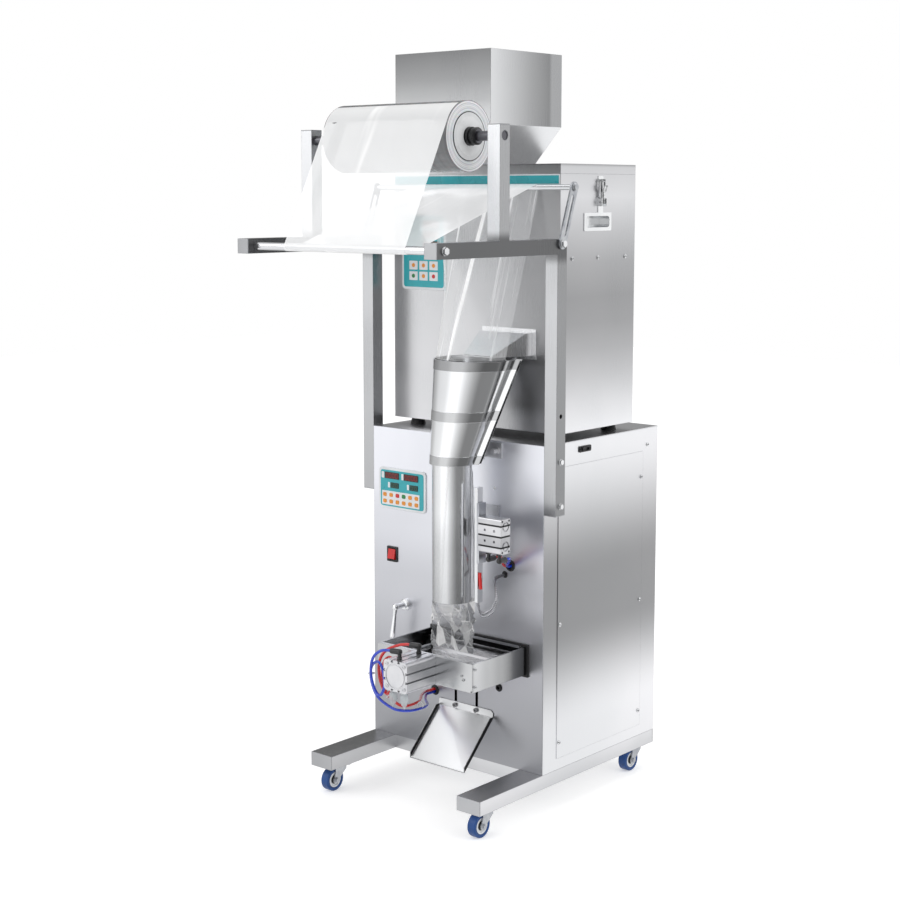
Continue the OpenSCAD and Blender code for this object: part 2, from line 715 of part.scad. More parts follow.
// Recessed pull: a dished cup behind a flange, and a round bar across it
module handle_cup() {
  difference() {
    union() {
      rotate([90, 0, 90]) linear_extrude(1.5) rounded(handle_w, handle_h, 3);
      rotate([90, 0, 90]) translate([0, 0, -handle_deep])
        linear_extrude(handle_deep + eps) rounded(handle_w - 12, handle_h - 12, 8);
    }
    rotate([90, 0, 90]) translate([0, 0, -handle_deep + 1.2])
      linear_extrude(handle_deep + 5) rounded(handle_w - 15, handle_h - 15, 7);
  }
}

// Draw latch: the lever on its pin and the wire bail with its top bar over the keeper
module latch() {
  translate([7, 0, 0]) {
    rod_y(-10.5, 10.5, 0, 0, latch_pin_d);
    translate([0, 0, -3]) rotate([0, 0, 90]) linear_extrude(27) rounded(11, 8, 3.5);
    translate([3, 0, 22]) rotate([0, 20, 0]) span([-1.2, -5, 0], [1.2, 5, 13]);
    for (t = SIDES) translate([0, t * 5.2 - 1.4, 0])
      span([-1.4, 0, 0], [1.4, 2.8, latch_reach]);
    rod_y(-6.6, 6.6, 0, latch_reach, 3.2);
  }
}

module latch_right() {
  color("silver") translate([case_w / 2, latch_y, latch_base_z]) latch();
}

module latch_left() {
  color("silver") translate([-case_w / 2, latch_y, latch_base_z]) mirror([1, 0, 0]) latch();
}

// Hopper: a square box on a tapered foot that stands on the lid
hopper_y = case_y + case_d / 2 - 9;
hopper_t = 1.5;

module hopper_shape(grow) {
  w = hopper_w + 2 * grow;
  d = hopper_d + 2 * grow;
  ow = outlet_w + 2 * grow;
  od = outlet_d + 2 * grow;
  hull() {
    translate([-w / 2, -d / 2, funnel_h]) cube([w, d, eps]);
    translate([-ow / 2, -od / 2, 0]) cube([ow, od, eps]);
  }
}

module hopper() {
  color("silver") translate([-hopper_off, hopper_y, case_top]) {
    difference() {
      union() {
        hopper_shape(0);
        translate([-hopper_w / 2, -hopper_d / 2, funnel_h])
          cube([hopper_w, hopper_d, hopper_h]);
      }
      hopper_shape(-hopper_t);
      translate([-hopper_w / 2 + hopper_t, -hopper_d / 2 + hopper_t, funnel_h - eps])
        cube([hopper_w - 2 * hopper_t, hopper_d - 2 * hopper_t, hopper_h + 1]);
      translate([-outlet_w / 2 + hopper_t, -outlet_d / 2 + hopper_t, -1])
        cube([outlet_w - 2 * hopper_t, outlet_d - 2 * hopper_t, 1.5]);
    }
  }
}

// Inside the weigher: vibrating tray on its drive, weigh bucket with its gate, load cell
tray_x0 = -190;
tray_x1 = 60;
tray_z = case_z + 430;
tray_w = 110;
drive_h = 70;
drive_gap = 0.5;
bucket_x = 96;
bucket_w = 90;
bucket_h = 90;
bucket_z = case_z + 330;
mid_case_y = case_y + case_d / 2;

module feeder_tray() {
  color("lightsteelblue") difference() {
    span([tray_x0, mid_case_y - tray_w / 2, tray_z], [tray_x1, mid_case_y + tray_w / 2, tray_z + 40]);
    span([tray_x0 + 2, mid_case_y - tray_w / 2 + 2, tray_z + 2],
      [tray_x1 + 5, mid_case_y + tray_w / 2 - 2, tray_z + 60]);
  }
}

module feeder_drive() {
  color("dimgray") {
    top = tray_z - drive_gap;
    span([-140, mid_case_y - 35, top - drive_h], [-20, mid_case_y + 35, top]);
    span([-160, mid_case_y - 45, top - drive_h - 12], [0, mid_case_y + 45, top - drive_h + eps]);
    for (x = [-150, -12], y = [-38, 38])
      translate([x, mid_case_y + y, case_z + sheet_t])
        cylinder(h = top - drive_h - 12 - case_z - sheet_t + eps, d = 12);
  }
}

module weigh_bucket() {
  x0 = bucket_x - bucket_w / 2;
  y0 = mid_case_y - bucket_w / 2;
  color("silver") difference() {
    span([x0, y0, bucket_z], [x0 + bucket_w, y0 + bucket_w, bucket_z + bucket_h]);
    span([x0 + 1.5, y0 + 1.5, bucket_z - 1], [x0 + bucket_w - 1.5, y0 + bucket_w - 1.5,
      bucket_z + bucket_h + 1]);
  }
  color("silver") for (t = SIDES) difference() {
    span([x0 + bucket_w / 2 - 8, mid_case_y + t * (bucket_w / 2 + 1.5) - 1.5, bucket_z - 16],
      [x0 + bucket_w / 2 + 8, mid_case_y + t * (bucket_w / 2 + 1.5) + 1.5, bucket_z + 12]);
    rod_y(mid_case_y - bucket_w, mid_case_y + bucket_w, gate_pin_x, bucket_z - 9, 4 + 2 * run_fit);
  }
}

gate_pin_x = bucket_x;

module bucket_gate() {
  color("silver") {
    rod_y(mid_case_y - bucket_w / 2 - 4, mid_case_y + bucket_w / 2 + 4, gate_pin_x, bucket_z - 9, 4);
    span([bucket_x - bucket_w / 2 + 2, mid_case_y - bucket_w / 2 + 2.5, bucket_z - 10],
      [bucket_x + bucket_w / 2 - 2, mid_case_y + bucket_w / 2 - 2.5, bucket_z - 8]);
  }
}

module load_cell() {
  y1 = mid_case_y + bucket_w / 2;
  color("darkgray") {
    difference() {
      span([bucket_x - 12, y1 + 3, bucket_z + 30], [bucket_x + 12, case_y + case_d - 20, bucket_z + 55]);
      rod_x(bucket_x - 20, bucket_x + 20, y1 + 28, bucket_z + 42.5, 14);
      rod_x(bucket_x - 20, bucket_x + 20, y1 + 37, bucket_z + 42.5, 14);
    }
    span([bucket_x - 10, y1 + eps, bucket_z + 32], [bucket_x + 10, y1 + 3 + eps, bucket_z + 53]);
    span([bucket_x - 18, case_y + case_d - 20 - eps, case_z + sheet_t],
      [bucket_x + 18, case_y + case_d - 12, bucket_z + 60]);
  }
}

// Outlet spout: a flanged mouth on the case's front that drops into the filling funnel
drop_x0 = 46;
drop_x1 = 118;
drop_y0 = -30;
drop_y1 = 8;
drop_z = 952;

module spout_shape(t) {
  span([spout_x0 + t, 40 - eps, spout_z + t], [spout_x0 + spout_w - t, case_y, spout_z + spout_h - t]);
  hull() {
    span([spout_x0 + t, 39, spout_z + t], [spout_x0 + spout_w - t, 40, spout_z + spout_h - t]);
    span([drop_x0 + t, drop_y0 + t, drop_z], [drop_x1 - t, drop_y1 - t, drop_z + 1]);
  }
}

module outlet_spout() {
  color("gainsboro") {
    difference() {
      spout_shape(0);
      spout_shape(1.5);
      span([drop_x0 + 1.5, drop_y0 + 1.5, drop_z - 5], [drop_x1 - 1.5, drop_y1 - 1.5, drop_z + 3]);
      span([spout_x0 + 1.5, case_y - 5, spout_z + 1.5],
        [spout_x0 + spout_w - 1.5, case_y + 5, spout_z + spout_h - 1.5]);
    }
    // slide inside the case, from under the bucket down to the mouth
    translate([spout_x0 + 10, 0, 0]) along_x() linear_extrude(spout_w - 20)
      polygon([[case_y - 0.5, spout_z + 6.2], [case_y - 0.5, spout_z + 8],
        [mid_case_y + 55, bucket_z - 60], [mid_case_y + 55, bucket_z - 61.8]]);
    difference() {
      span([spout_x0 - 10, case_y - 1.5, spout_z - 8],
        [spout_x0 + spout_w + 10, case_y, spout_z + spout_h + 8]);
      span([spout_x0 + 1, case_y - 5, spout_z + 1],
        [spout_x0 + spout_w - 1, case_y + 5, spout_z + spout_h - 1]);
    }
  }
}

// Film stand

roll_mid = 14;         // middle of the film roll
shaft_in = 2;          // set-back of the shaft's ends in the uprights
leg_hole_z = 840;
arm_mid_z = arm_z + stand_s / 2;
arm_t = 4;
arm_slot_w = 11;
dancer_y = 11;         // depth of the dancer arms' pivots
dancer_z = arm_z + 21;
axle_bolt_d = 8;
axle_bolt_in = 20;

module film_frame() {
  color("silver") both_sides() translate([stand_x, 0, 0]) difference() {
    union() {
      translate([0, stand_s / 2, leg_foot_z + cap_t])
        square_tube(stand_s, stand_s, arm_z - leg_foot_z - cap_t, tube_t);
      translate([0, -arm_reach + cap_t, arm_mid_z]) rotate([-90, 0, 0])
        square_tube(stand_s, stand_s, arm_reach + stand_s - cap_t, tube_t);
      translate([0, -upright_y, arm_z + stand_s])
        square_tube(stand_s, stand_s, upright_top_z - cap_t - arm_z - stand_s, tube_t);
    }
    rod_x(-stand_s, stand_s, -upright_y, shaft_z, shaft_d + 2 * run_fit);
    rod_x(0, stand_s, stand_s / 2, leg_hole_z, 9);
    rod_x(-stand_s, stand_s, -guide_y, arm_mid_z, axle_bolt_d);
    rod_x(-stand_s, stand_s, dancer_y, dancer_z, axle_bolt_d);
  }
}

// Roll shaft with the two plugs that centre the core and their black clamp collars
module roll_shaft() {
  reach = stand_x + stand_s / 2 - shaft_in;
  plug_r = core_d / 2 - 9.5;
  seat_r = shaft_d / 2 + run_fit;
  color("dimgray") rod_x(-reach, reach, -upright_y, shaft_z, shaft_d);
  for (s = SIDES) translate([roll_mid + s * roll_w / 2, -upright_y, shaft_z]) rotate([0, s * 90, 0]) {
    color("whitesmoke") rotate_extrude() polygon([[seat_r, -25], [seat_r + 9, -25],
      [seat_r + 9, -6], [plug_r, -12], [plug_r, 1.5], [seat_r, 1.5]]);
    color([0.1, 0.1, 0.1]) rotate_extrude() polygon([[seat_r, 1.6], [17, 1.6], [18, 4], [18, 9],
      [15, 10], [15, 14], [17, 15], [17, 22], [14, 25], [seat_r, 25]]);
  }
}

module film_core() {
  color("tan") translate([roll_mid, -upright_y, shaft_z]) rotate([0, 90, 0]) difference() {
    cylinder(h = roll_w + 2, d = core_d, center = true);
    cylinder(h = roll_w + 10, d = core_d - 19, center = true);
  }
}

module film_roll() {
  color([0.93, 0.94, 0.95]) translate([roll_mid, -upright_y, shaft_z]) rotate([0, 90, 0])
    difference() {
      cylinder(h = roll_w, d = roll_d, center = true);
      cylinder(h = roll_w + 10, d = core_d + 2 * run_fit, center = true);
    }
}

module guide_roller() {
  reach = cab_w / 2 - side_gap;
  color("silver") difference() {
    rod_x(-reach, reach, -guide_y, arm_mid_z, guide_d);
    for (s = SIDES) translate([s * reach, -guide_y, arm_mid_z]) rotate([0, 90, 0])
      cylinder(h = 2 * (axle_bolt_in + 1), d = axle_bolt_d + 2 * run_fit, center = true);
  }
}

// Bolts of the film stand: the guide roller's axles and the dancer arms' pivots
module stand_bolts() {
  outer = stand_x + stand_s / 2;
  both_sides() {
    rod_x(cab_w / 2 - axle_bolt_in, outer, -guide_y, arm_mid_z, axle_bolt_d);
    translate([outer, -guide_y, arm_mid_z]) rotate([0, 90, 0]) hex_bolt(13, 5);
    rod_x(outer - stand_s - 4, outer + arm_t + 2 * side_gap, dancer_y, dancer_z, axle_bolt_d);
    translate([outer + arm_t + 2 * side_gap, dancer_y, dancer_z]) rotate([0, 90, 0]) hex_bolt(13, 5);
    translate([outer - stand_s, dancer_y, dancer_z]) rotate([0, -90, 0]) hex_bolt(13, 3);
  }
}

// Slotted link of the dancer, its pivot at the origin and pointing up, along Z
module dancer_arm() {
  rotate([90, 0, 90]) linear_extrude(arm_t) difference() {
    union() {
      translate([-arm_slot_w, 0]) square([2 * arm_slot_w, dancer_len]);
      circle(arm_slot_w);
      translate([0, dancer_len]) circle(arm_slot_w);
    }
    circle(d = axle_bolt_d + 2 * run_fit);
    translate([-arm_slot_w * 0.42, 20]) square([arm_slot_w * 0.84, dancer_len - 40]);
    translate([0, 20]) circle(arm_slot_w * 0.42);
    translate([0, dancer_len - 20]) circle(arm_slot_w * 0.42);
  }
}

module at_dancer() {
  translate([0, dancer_y, dancer_z]) rotate([-dancer_lean, 0, 0]) children();
}

module dancer_arms() {
  inner = stand_x + stand_s / 2 + side_gap;
  color("silver") at_dancer() both_sides() {
    translate([inner, 0, 0]) dancer_arm();
    rod_x(inner - axle_bolt_in, inner + eps, 0, dancer_len, 6);
    translate([inner + arm_t, 0, dancer_len]) rotate([0, 90, 0]) rotate_extrude()
      polygon([[0, -eps], [9, -eps], [9, 2], [6, 5], [0, 5]]);
  }
}

module dancer_roller() {
  reach = stand_x + stand_s / 2 - 0.2;
  color("silver") at_dancer() difference() {
    rod_x(-reach, reach, 0, dancer_len, dancer_d);
    for (s = SIDES) translate([s * reach, 0, dancer_len]) rotate([0, 90, 0])
      cylinder(h = 2 * (axle_bolt_in + 1), d = 6 + 2 * run_fit, center = true);
  }
}

// Former: a leaning cone open along one side, around the filling tube's funnel

collar_t = 1.5;
collar_foot_r = tube_d / 2 + film_gap + collar_t;
lean_x = 18;           // shift of the collar's wide top to the right
lean_y = 50;           // shift of the collar's wide top to the back
lean = atan2(sqrt(pow(lean_x, 2) + pow(lean_y, 2)), collar_h);
lean_dir = atan2(lean_y, lean_x);
seam_dir = 24;         // direction of the collar's open seam, from the right to the back
seam_w = 13;
lip_w = 12;
top_clear = 9;         // gap between the collar and the funnel at the wide top

// Places a cone that leans back over the filling tube, its foot at z = 0
module leaning() {
  translate([tube_x, -tube_y, collar_z]) rotate([0, 0, lean_dir]) rotate([0, lean, 0]) children();
}

// Leaning frame turned towards the open seam
module seam_frame() { leaning() rotate([0, 0, seam_dir - lean_dir]) children(); }

// Leaning cone, larger or smaller by grow, cut flat below and above
module collar_cone(grow, low, high) {
  over = 40;
  slope = (collar_top_r - collar_foot_r) * cos(lean) / collar_h;
  length = collar_h / cos(lean);
  intersection() {
    leaning() translate([0, 0, -over]) cylinder(h = length + 2 * over,
      r1 = collar_foot_r + grow - over * slope, r2 = collar_top_r + grow + over * slope, $fn = 96);
    translate([-200, -400, low]) cube([600, 700, high - low]);
  }
}

module forming_collar() {
  top = collar_z + collar_h;
  cone_a = atan((collar_top_r - collar_foot_r) * cos(lean) / collar_h);
  color("silver") {
    difference() {
      union() {
        collar_cone(0, collar_z, top);
        for (b = [[0, 18], [collar_h * 0.42, 20], [collar_h - 20, 20]])
          collar_cone(1, collar_z + b[0], collar_z + b[0] + b[1]);
      }
      collar_cone(-collar_t, collar_z - 1, top + 1);
      seam_frame()
        translate([0, -seam_w / 2, -50]) cube([200, seam_w, 400]);
    }
    // folded lips along both edges of the seam
    intersection() {
      seam_frame() translate([collar_foot_r - collar_t, 0, 0])
        rotate([0, cone_a, 0]) for (s = SIDES)
          translate([0, s * (seam_w / 2 + collar_t / 2) - collar_t / 2, -40])
            cube([lip_w, collar_t, collar_h * 1.5]);
      translate([-200, -400, collar_z]) cube([600, 700, collar_h]);
    }
  }
}

// Filling tube: a straight tube with a leaning funnel on top, inside the collar
module filling_tube() {
  funnel_z = collar_z + 40;
  top = collar_z + collar_h - 6;
  bore = tube_d / 2 - 1.5;
  color("silver") difference() {
    union() {
      translate([tube_x, -tube_y, tube_foot_z]) cylinder(h = funnel_z + 14 - tube_foot_z, d = tube_d);
      collar_cone(-top_clear - collar_t, funnel_z, top);
    }
    translate([tube_x, -tube_y, tube_foot_z - 1]) cylinder(h = funnel_z + 60 - tube_foot_z, r = bore);
    collar_cone(-top_clear - 2 * collar_t, funnel_z + 1, top + 1);
  }
  // two ears that hang the funnel on the collar's seam side
  color("silver") intersection() {
    difference() {
      collar_cone(0, top - 14, top);
      collar_cone(-top_clear - collar_t - 0.5, top - 15, top + 1);
    }
    seam_frame() for (s = SIDES)
      translate([40, s * (seam_w / 2 - 2.4) - 1, 0]) cube([80, 2, 400]);
  }
}

bracket_z0 = 744;
bracket_z1 = 764;

// Brackets on the panel: the clamp that holds the collar, and the vertical sealer's holder
module former_bracket() {
  color("silver") {
    difference() {
      union() {
        span([tube_x - 50, -4, cab_top - 36], [tube_x + 62, 0, cab_top - 4]);
        span([tube_x - 16, -50, bracket_z0], [tube_x + 24, -3, bracket_z1]);
        translate([tube_x + 2, -tube_y + 6, bracket_z0]) intersection() {
          cylinder(h = bracket_z1 - bracket_z0, r = 62);
          translate([-70, 4, -1]) cube([116, 70, 40]);
        }
      }
      collar_cone(1 + run_fit, bracket_z0 - 5, bracket_z1 + 5);
      seam_frame() translate([collar_foot_r - 8, -seam_w / 2 - 2 * collar_t, -60])
        cube([80, seam_w + 4 * collar_t, 200]);
    }
    for (x = [-38, 50]) translate([tube_x + x, -4, cab_top - 20]) rotate([90, 0, 0]) {
      cylinder(h = 3, d = 16);
      translate([0, 0, 3 - eps]) cylinder(h = 12, d = 12, $fn = 8);
    }
    // holder of the twin-rod cylinder: a foot on the panel, bent round to the body's back
    back = -tube_y + twin_d / 2;
    span([twin_x0 - 74, -4, twin_z - 28], [twin_x0 - 28, 0, twin_z + 41]);
    span([twin_x0 - 32, back, twin_z - 18], [twin_x0 - 28, -3, twin_z + 18]);
    span([twin_x0 - 32, back, twin_z - 18], [twin_x0 + 30, back + 4, twin_z + 18]);
  }
}

// Film

film_x0 = roll_mid - roll_w / 2 + 2;
film_x1 = roll_mid + roll_w / 2 - 2;
roll_r = roll_d / 2 + soft_gap + film_t / 2;
guide_r = guide_d / 2 + soft_gap + film_t / 2;
dancer_r = dancer_d / 2 + soft_gap + film_t / 2;
roll_c = [-upright_y, shaft_z];
guide_c = [-guide_y, arm_mid_z];
dancer_c = [dancer_y + dancer_len * sin(dancer_lean), dancer_z + dancer_len * cos(dancer_lean)];

// Angle of the line from a to b, and of the normals of the tangents between two circles
function heading(a, b) = atan2(b[1] - a[1], b[0] - a[0]);
function outer_dir(a, ra, b, rb) = heading(a, b) - acos((ra - rb) / norm(b - a)) + 360;
function cross_dir(a, ra, b, rb) = heading(a, b) - acos((ra + rb) / norm(b - a)) + 360;
function on_circle(c, r, a) = c + r * [cos(a), sin(a)];
function arc_points(c, r, a0, a1, n) = [for (i = [0:n]) on_circle(c, r, a0 + (a1 - a0) * i / n)];

roll_out = outer_dir(roll_c, roll_r, guide_c, guide_r);
guide_out = cross_dir(guide_c, guide_r, dancer_c, dancer_r);
dancer_out = -20;
web_path = concat([on_circle(roll_c, roll_r, roll_out)],
  arc_points(guide_c, guide_r, roll_out, guide_out, 8),
  arc_points(dancer_c, dancer_r, guide_out - 180, dancer_out, 8));

function path_normal(p, i) = let (d = p[min(i + 1, len(p) - 1)] - p[max(i - 1, 0)])
  [-d[1], d[0]] / norm(d);
// Outline of a sheet of thickness t along the points p
function band(p, t) = concat([for (i = [0:len(p) - 1]) p[i] + path_normal(p, i) * t / 2],
  [for (i = [len(p) - 1:-1:0]) p[i] - path_normal(p, i) * t / 2]);

// The web between the dancer roller and the collar: straight above, curled below
web_rows = 10;
web_cols = 20;
curl_r = collar_top_r - collar_t - 2.5;
curl_from = 132;       // directions of the web's edges at the collar's rim
curl_to = 361;
web_end_z = collar_z + collar_h + 2;

function web_point(s, t) = let (
  c = on_circle(dancer_c, dancer_r, dancer_out + 8),
  a = curl_from + (curl_to - curl_from) * s,
  top = [film_x0 + (film_x1 - film_x0) * s, c[0], c[1]],
  foot = [tube_x + lean_x + curl_r * cos(a), lean_y - tube_y + curl_r * sin(a), web_end_z])
  top + (foot - top) * t;
function web_normal(s, t) = let (h = 0.01,
  n = cross(web_point(s + h, t) - web_point(s - h, t), web_point(s, t + h) - web_point(s, t - h)))
  n / norm(n);
function web_face(side) = [for (i = [0:web_rows]) [for (j = [0:web_cols])
  let (s = j / web_cols, t = i / web_rows) web_point(s, t) + side * web_normal(s, t) * film_t / 2]];

// Closed sheet between two grids of points
module sheet_loft(a, b) {
  rows = len(a);
  cols = len(a[0]);
  half = rows * cols;
  points = concat([for (r = a) each r], [for (r = b) each r]);
  function quad(i, j, o, turn) = let (p = o + i * cols + j)
    turn ? [[p, p + 1, p + cols + 1], [p, p + cols + 1, p + cols]]
      : [[p, p + cols + 1, p + 1], [p, p + cols, p + cols + 1]];
  faces = concat(
    [for (i = [0:rows - 2], j = [0:cols - 2]) each quad(i, j, 0, true)],
    [for (i = [0:rows - 2], j = [0:cols - 2]) each quad(i, j, half, false)],
    [for (j = [0:cols - 2]) each let (p = j, q = (rows - 1) * cols + j)
      [[p, half + p, half + p + 1], [p, half + p + 1, p + 1],
      [q + 1, half + q + 1, half + q], [q + 1, half + q, q]]],
    [for (i = [0:rows - 2]) each let (p = i * cols, q = i * cols + cols - 1)
      [[p + cols, half + p + cols, half + p], [p + cols, half + p, p],
      [q, half + q, half + q + cols], [q, half + q + cols, q + cols]]]);
  polyhedron(points, faces);
}

module film_web() {
  color([0.92, 0.94, 0.96, 0.5]) {
    translate([film_x0, 0, 0]) along_x() linear_extrude(film_x1 - film_x0)
      polygon(band(web_path, film_t));
    sheet_loft(web_face(-1), web_face(1));
  }
}

// Closed solid through rings of points
module ring_loft(rings) {
  n = len(rings[0]);
  m = len(rings);
  polyhedron([for (r = rings) each r], concat(
    [[for (j = [0:n - 1]) j]],
    [for (i = [0:m - 2], j = [0:n - 1]) each let (p = i * n, k = (j + 1) % n)
      [[p + k, p + j, p + n + j], [p + k, p + n + j, p + n + k]]],
    [[for (j = [n - 1:-1:0]) (m - 1) * n + j]]));
}

bag_foot_z = jaw_z + jaw_h / 2 + 1.5;      // the sealed lower end, just above the jaws
bag_r = tube_d / 2 + soft_gap + film_t;
bag_seal = 2.4;

// Ring of the bag at height z: round on the tube, flatter and wider towards the seal
function bag_ring(z, shrink) = let (
  f = min(1, max(0, (tube_foot_z - 12 - z) / (tube_foot_z - 12 - bag_foot_z))),
  b = bag_r + (bag_seal / 2 - bag_r) * (1 - pow(1 - f, 1.6)),
  a = sqrt(2 * pow(bag_r, 2) - pow(b, 2)))
  [for (k = [0:31]) [tube_x + (a - shrink) * cos(-k * 11.25),
    -tube_y + max(b - shrink, 0.4) * sin(-k * 11.25), z]];

module bag_tube() {
  drop = tube_foot_z - 12 - bag_foot_z;
  steps = [for (i = [8:-1:0]) bag_foot_z + drop * i / 8];
  color([0.92, 0.94, 0.96, 0.5]) difference() {
    ring_loft(concat([bag_ring(collar_z - 1, 0)], [for (z = steps) bag_ring(z, 0)]));
    ring_loft(concat([bag_ring(collar_z + 5, film_t)],
      [for (z = steps) if (z > bag_foot_z + 12) bag_ring(z, film_t)]));
  }
}

// Vertical sealer

bar_t = 12;
bar_face = 4;          // width of the bar's sealing edge
bar_d = 16;
plate_s_t = 6;
bar_x = tube_x + bag_r + 0.5 + seal_travel;          // the sealing edge at rest
plate_x = bar_x + bar_t;
twin_x0 = plate_x + plate_s_t + side_gap;
twin_z = seal_bar_z + seal_bar_h * 0.61;
twin_rod_d = 12;
twin_pitch = 40;
rod_in = 52;

module twin_rod_cylinder() {
  color("silver") translate([twin_x0, -tube_y, twin_z]) difference() {
    along_x() linear_extrude(twin_len) difference() {
      rounded(twin_d, twin_h, 4);
      for (s = SIDES, z = [-22, 0, 22]) translate([s * twin_d / 2, z])
        square([3, 2.4], center = true);
    }
    for (s = SIDES) translate([-1, 0, s * twin_pitch / 2]) rotate([0, 90, 0])
      cylinder(h = twin_len - 5, d = twin_rod_d + 2 * run_fit);
    for (s = SIDES) translate([twin_len - 2, 0, s * twin_pitch / 2]) rotate([0, 90, 0])
      linear_extrude(3) difference() {
        circle(d = 20);
        circle(d = 15);
      }
    for (s = SIDES, t = SIDES) translate([twin_len - 10, s * 10.5, t * 31.5]) rotate([0, 90, 0])
      cylinder(h = 12, d = 4.5);
    for (x = [18, 42], z = [-11, 11]) rod_y(-twin_d / 2 - 1, -twin_d / 2 + 6, x, z, 5);
    for (x = [16, 44]) translate([x, 0, -twin_h / 2 - 1]) cylinder(h = 9, d = 8);
  }
}

module seal_carriage() {
  color("gainsboro") translate([plate_x, -tube_y, twin_z]) {
    difference() {
      span([0, -11, -62], [plate_s_t, 11, 62]);
      for (s = SIDES) rod_x(-1, 3, 0, s * 52, 8);
    }
    for (s = SIDES) rod_x(plate_s_t - eps, plate_s_t + rod_in, 0, s * twin_pitch / 2, twin_rod_d);
  }
}

module seal_bar() {
  color("whitesmoke") translate([bar_x, -tube_y, seal_bar_z]) difference() {
    linear_extrude(seal_bar_h) polygon([[0, -bar_face / 2], [0, bar_face / 2], [4, bar_d / 2],
      [bar_t, bar_d / 2], [bar_t, -bar_d / 2], [4, -bar_d / 2]]);
    translate([8, 0, -1]) cylinder(h = seal_bar_h * 0.8, d = 5.2);
  }
  color([0.8, 0.1, 0.1]) translate([bar_x + 8, -tube_y, seal_bar_z - 6]) cylinder(h = 26, d = 5);
}

// Cross sealer

front_t = 4;
back_plate_t = 8;
guide_x = 100;         // distance of each guide rod from the middle
jaw_mid_y = -tube_y;
face_in = 4;           // depth of a jaw's sealing face
piston_d = 50;
piston_t = 12;
head_t = 10;           // thickness of a cylinder's head and cap
box_front = -jaw_box_reach;

// One side of the frame: a deep plate with a folded foot on the panel
module jaw_side(s) {
  x = s > 0 ? jaw_x1 - jaw_side_t : jaw_x0;
  difference() {
    span([x, box_front, jaw_box_z], [x + jaw_side_t, 0, jaw_box_z + jaw_box_h]);
    translate([x - 1, box_front - 1, jaw_box_z - 1]) cube([jaw_side_t + 2, 4, 5]);
  }
  f = s > 0 ? x - jaw_flange : x + jaw_side_t;
  span([f - eps, -3, jaw_box_z], [f + jaw_flange + eps, 0, jaw_box_z + jaw_box_h]);
  for (z = [-18, 18]) translate([x + (s > 0 ? jaw_side_t : 0), box_front + 8, jaw_z + z])
    rotate([0, s * 90, 0]) socket_screw(7, 3);
}

module jaw_frame() {
  color("silver") {
    for (s = SIDES) jaw_side(s);
    // front plate with a folded lip along its top
    difference() {
      union() {
        span([jaw_x0 + jaw_side_t, box_front, jaw_box_z],
          [jaw_x1 - jaw_side_t, box_front + front_t, jaw_box_z + jaw_box_h]);
        span([jaw_x0 + jaw_side_t, box_front, jaw_box_z + jaw_box_h - 2],
          [jaw_x1 - jaw_side_t, box_front + 11, jaw_box_z + jaw_box_h]);
      }
      rod_y(box_front - 1, box_front + 20, tube_x, jaw_z, piston_rod_d + 4);
    }
    translate([tube_x + 106, box_front, jaw_z - 6]) rotate([90, 0, 0]) socket_screw(6, 2.5);
    translate([tube_x + 102, box_front, jaw_z + 2]) rotate([90, 0, 0]) socket_screw(5, 2);
    for (s = SIDES) rod_y(box_front + front_t, sheet_t, tube_x + s * guide_x, jaw_z, rod_d);
  }
  color("dimgray") difference() {
    span([jaw_x0 + 3, sheet_t, jaw_box_z - 10],
      [jaw_x1 - 3, sheet_t + back_plate_t, jaw_box_z + jaw_box_h + 10]);
    rod_y(-1, 30, tube_x, jaw_z, piston_rod_d + 4);
  }
}

// Jaw with its face at y = 0 and its back towards -Y: a carrier on two guide rods, the
// heated bar with a ribbed face, and the piston rod with its piston
module jaw(ribs) {
  rod_len = jaw_box_reach - tube_y - jaw_travel - jaw_t + cyl_len - head_t - piston_t - 3;
  w = jaw_box_w - 2 * jaw_side_t - 16;
  color("silver") difference() {
    union() {
      span([-w / 2, -jaw_t, -jaw_h / 2], [w / 2, -jaw_t + 12, jaw_h / 2]);
      span([-w / 2 + 26, -jaw_t + 12 - eps, -jaw_h / 2 + 4],
        [w / 2 - 26, -face_in, jaw_h / 2 - 4]);
      for (z = [-9, 9]) span([-w / 2 + 26, -face_in - eps, z - 5], [w / 2 - 26, -1, z + 5]);
      for (z = [-9, 9], i = [0:ribs - 1])
        span([-w / 2 + 26, -1 - eps, z - 5 + i * 10 / ribs],
          [w / 2 - 26, 0, z - 5 + (i + 0.5) * 10 / ribs]);
    }
    for (s = SIDES) rod_y(-50, 10, s * guide_x, 0, rod_d + 2 * run_fit);
    for (z = [-9, 9]) rod_x(-w, w, -9, z, 6);
  }
  color("gainsboro") {
    rod_y(-jaw_t - rod_len, -jaw_t, 0, 0, piston_rod_d);
    rod_y(-jaw_t - rod_len - piston_t, -jaw_t - rod_len, 0, 0, piston_d - 2 * run_fit);
  }
}

module front_jaw() {
  translate([tube_x, jaw_mid_y - jaw_travel - 0.3, jaw_z]) jaw(5);
}

module rear_jaw() {
  translate([tube_x, jaw_mid_y + jaw_travel + 0.3, jaw_z]) rotate([0, 0, 180]) jaw(5);
}

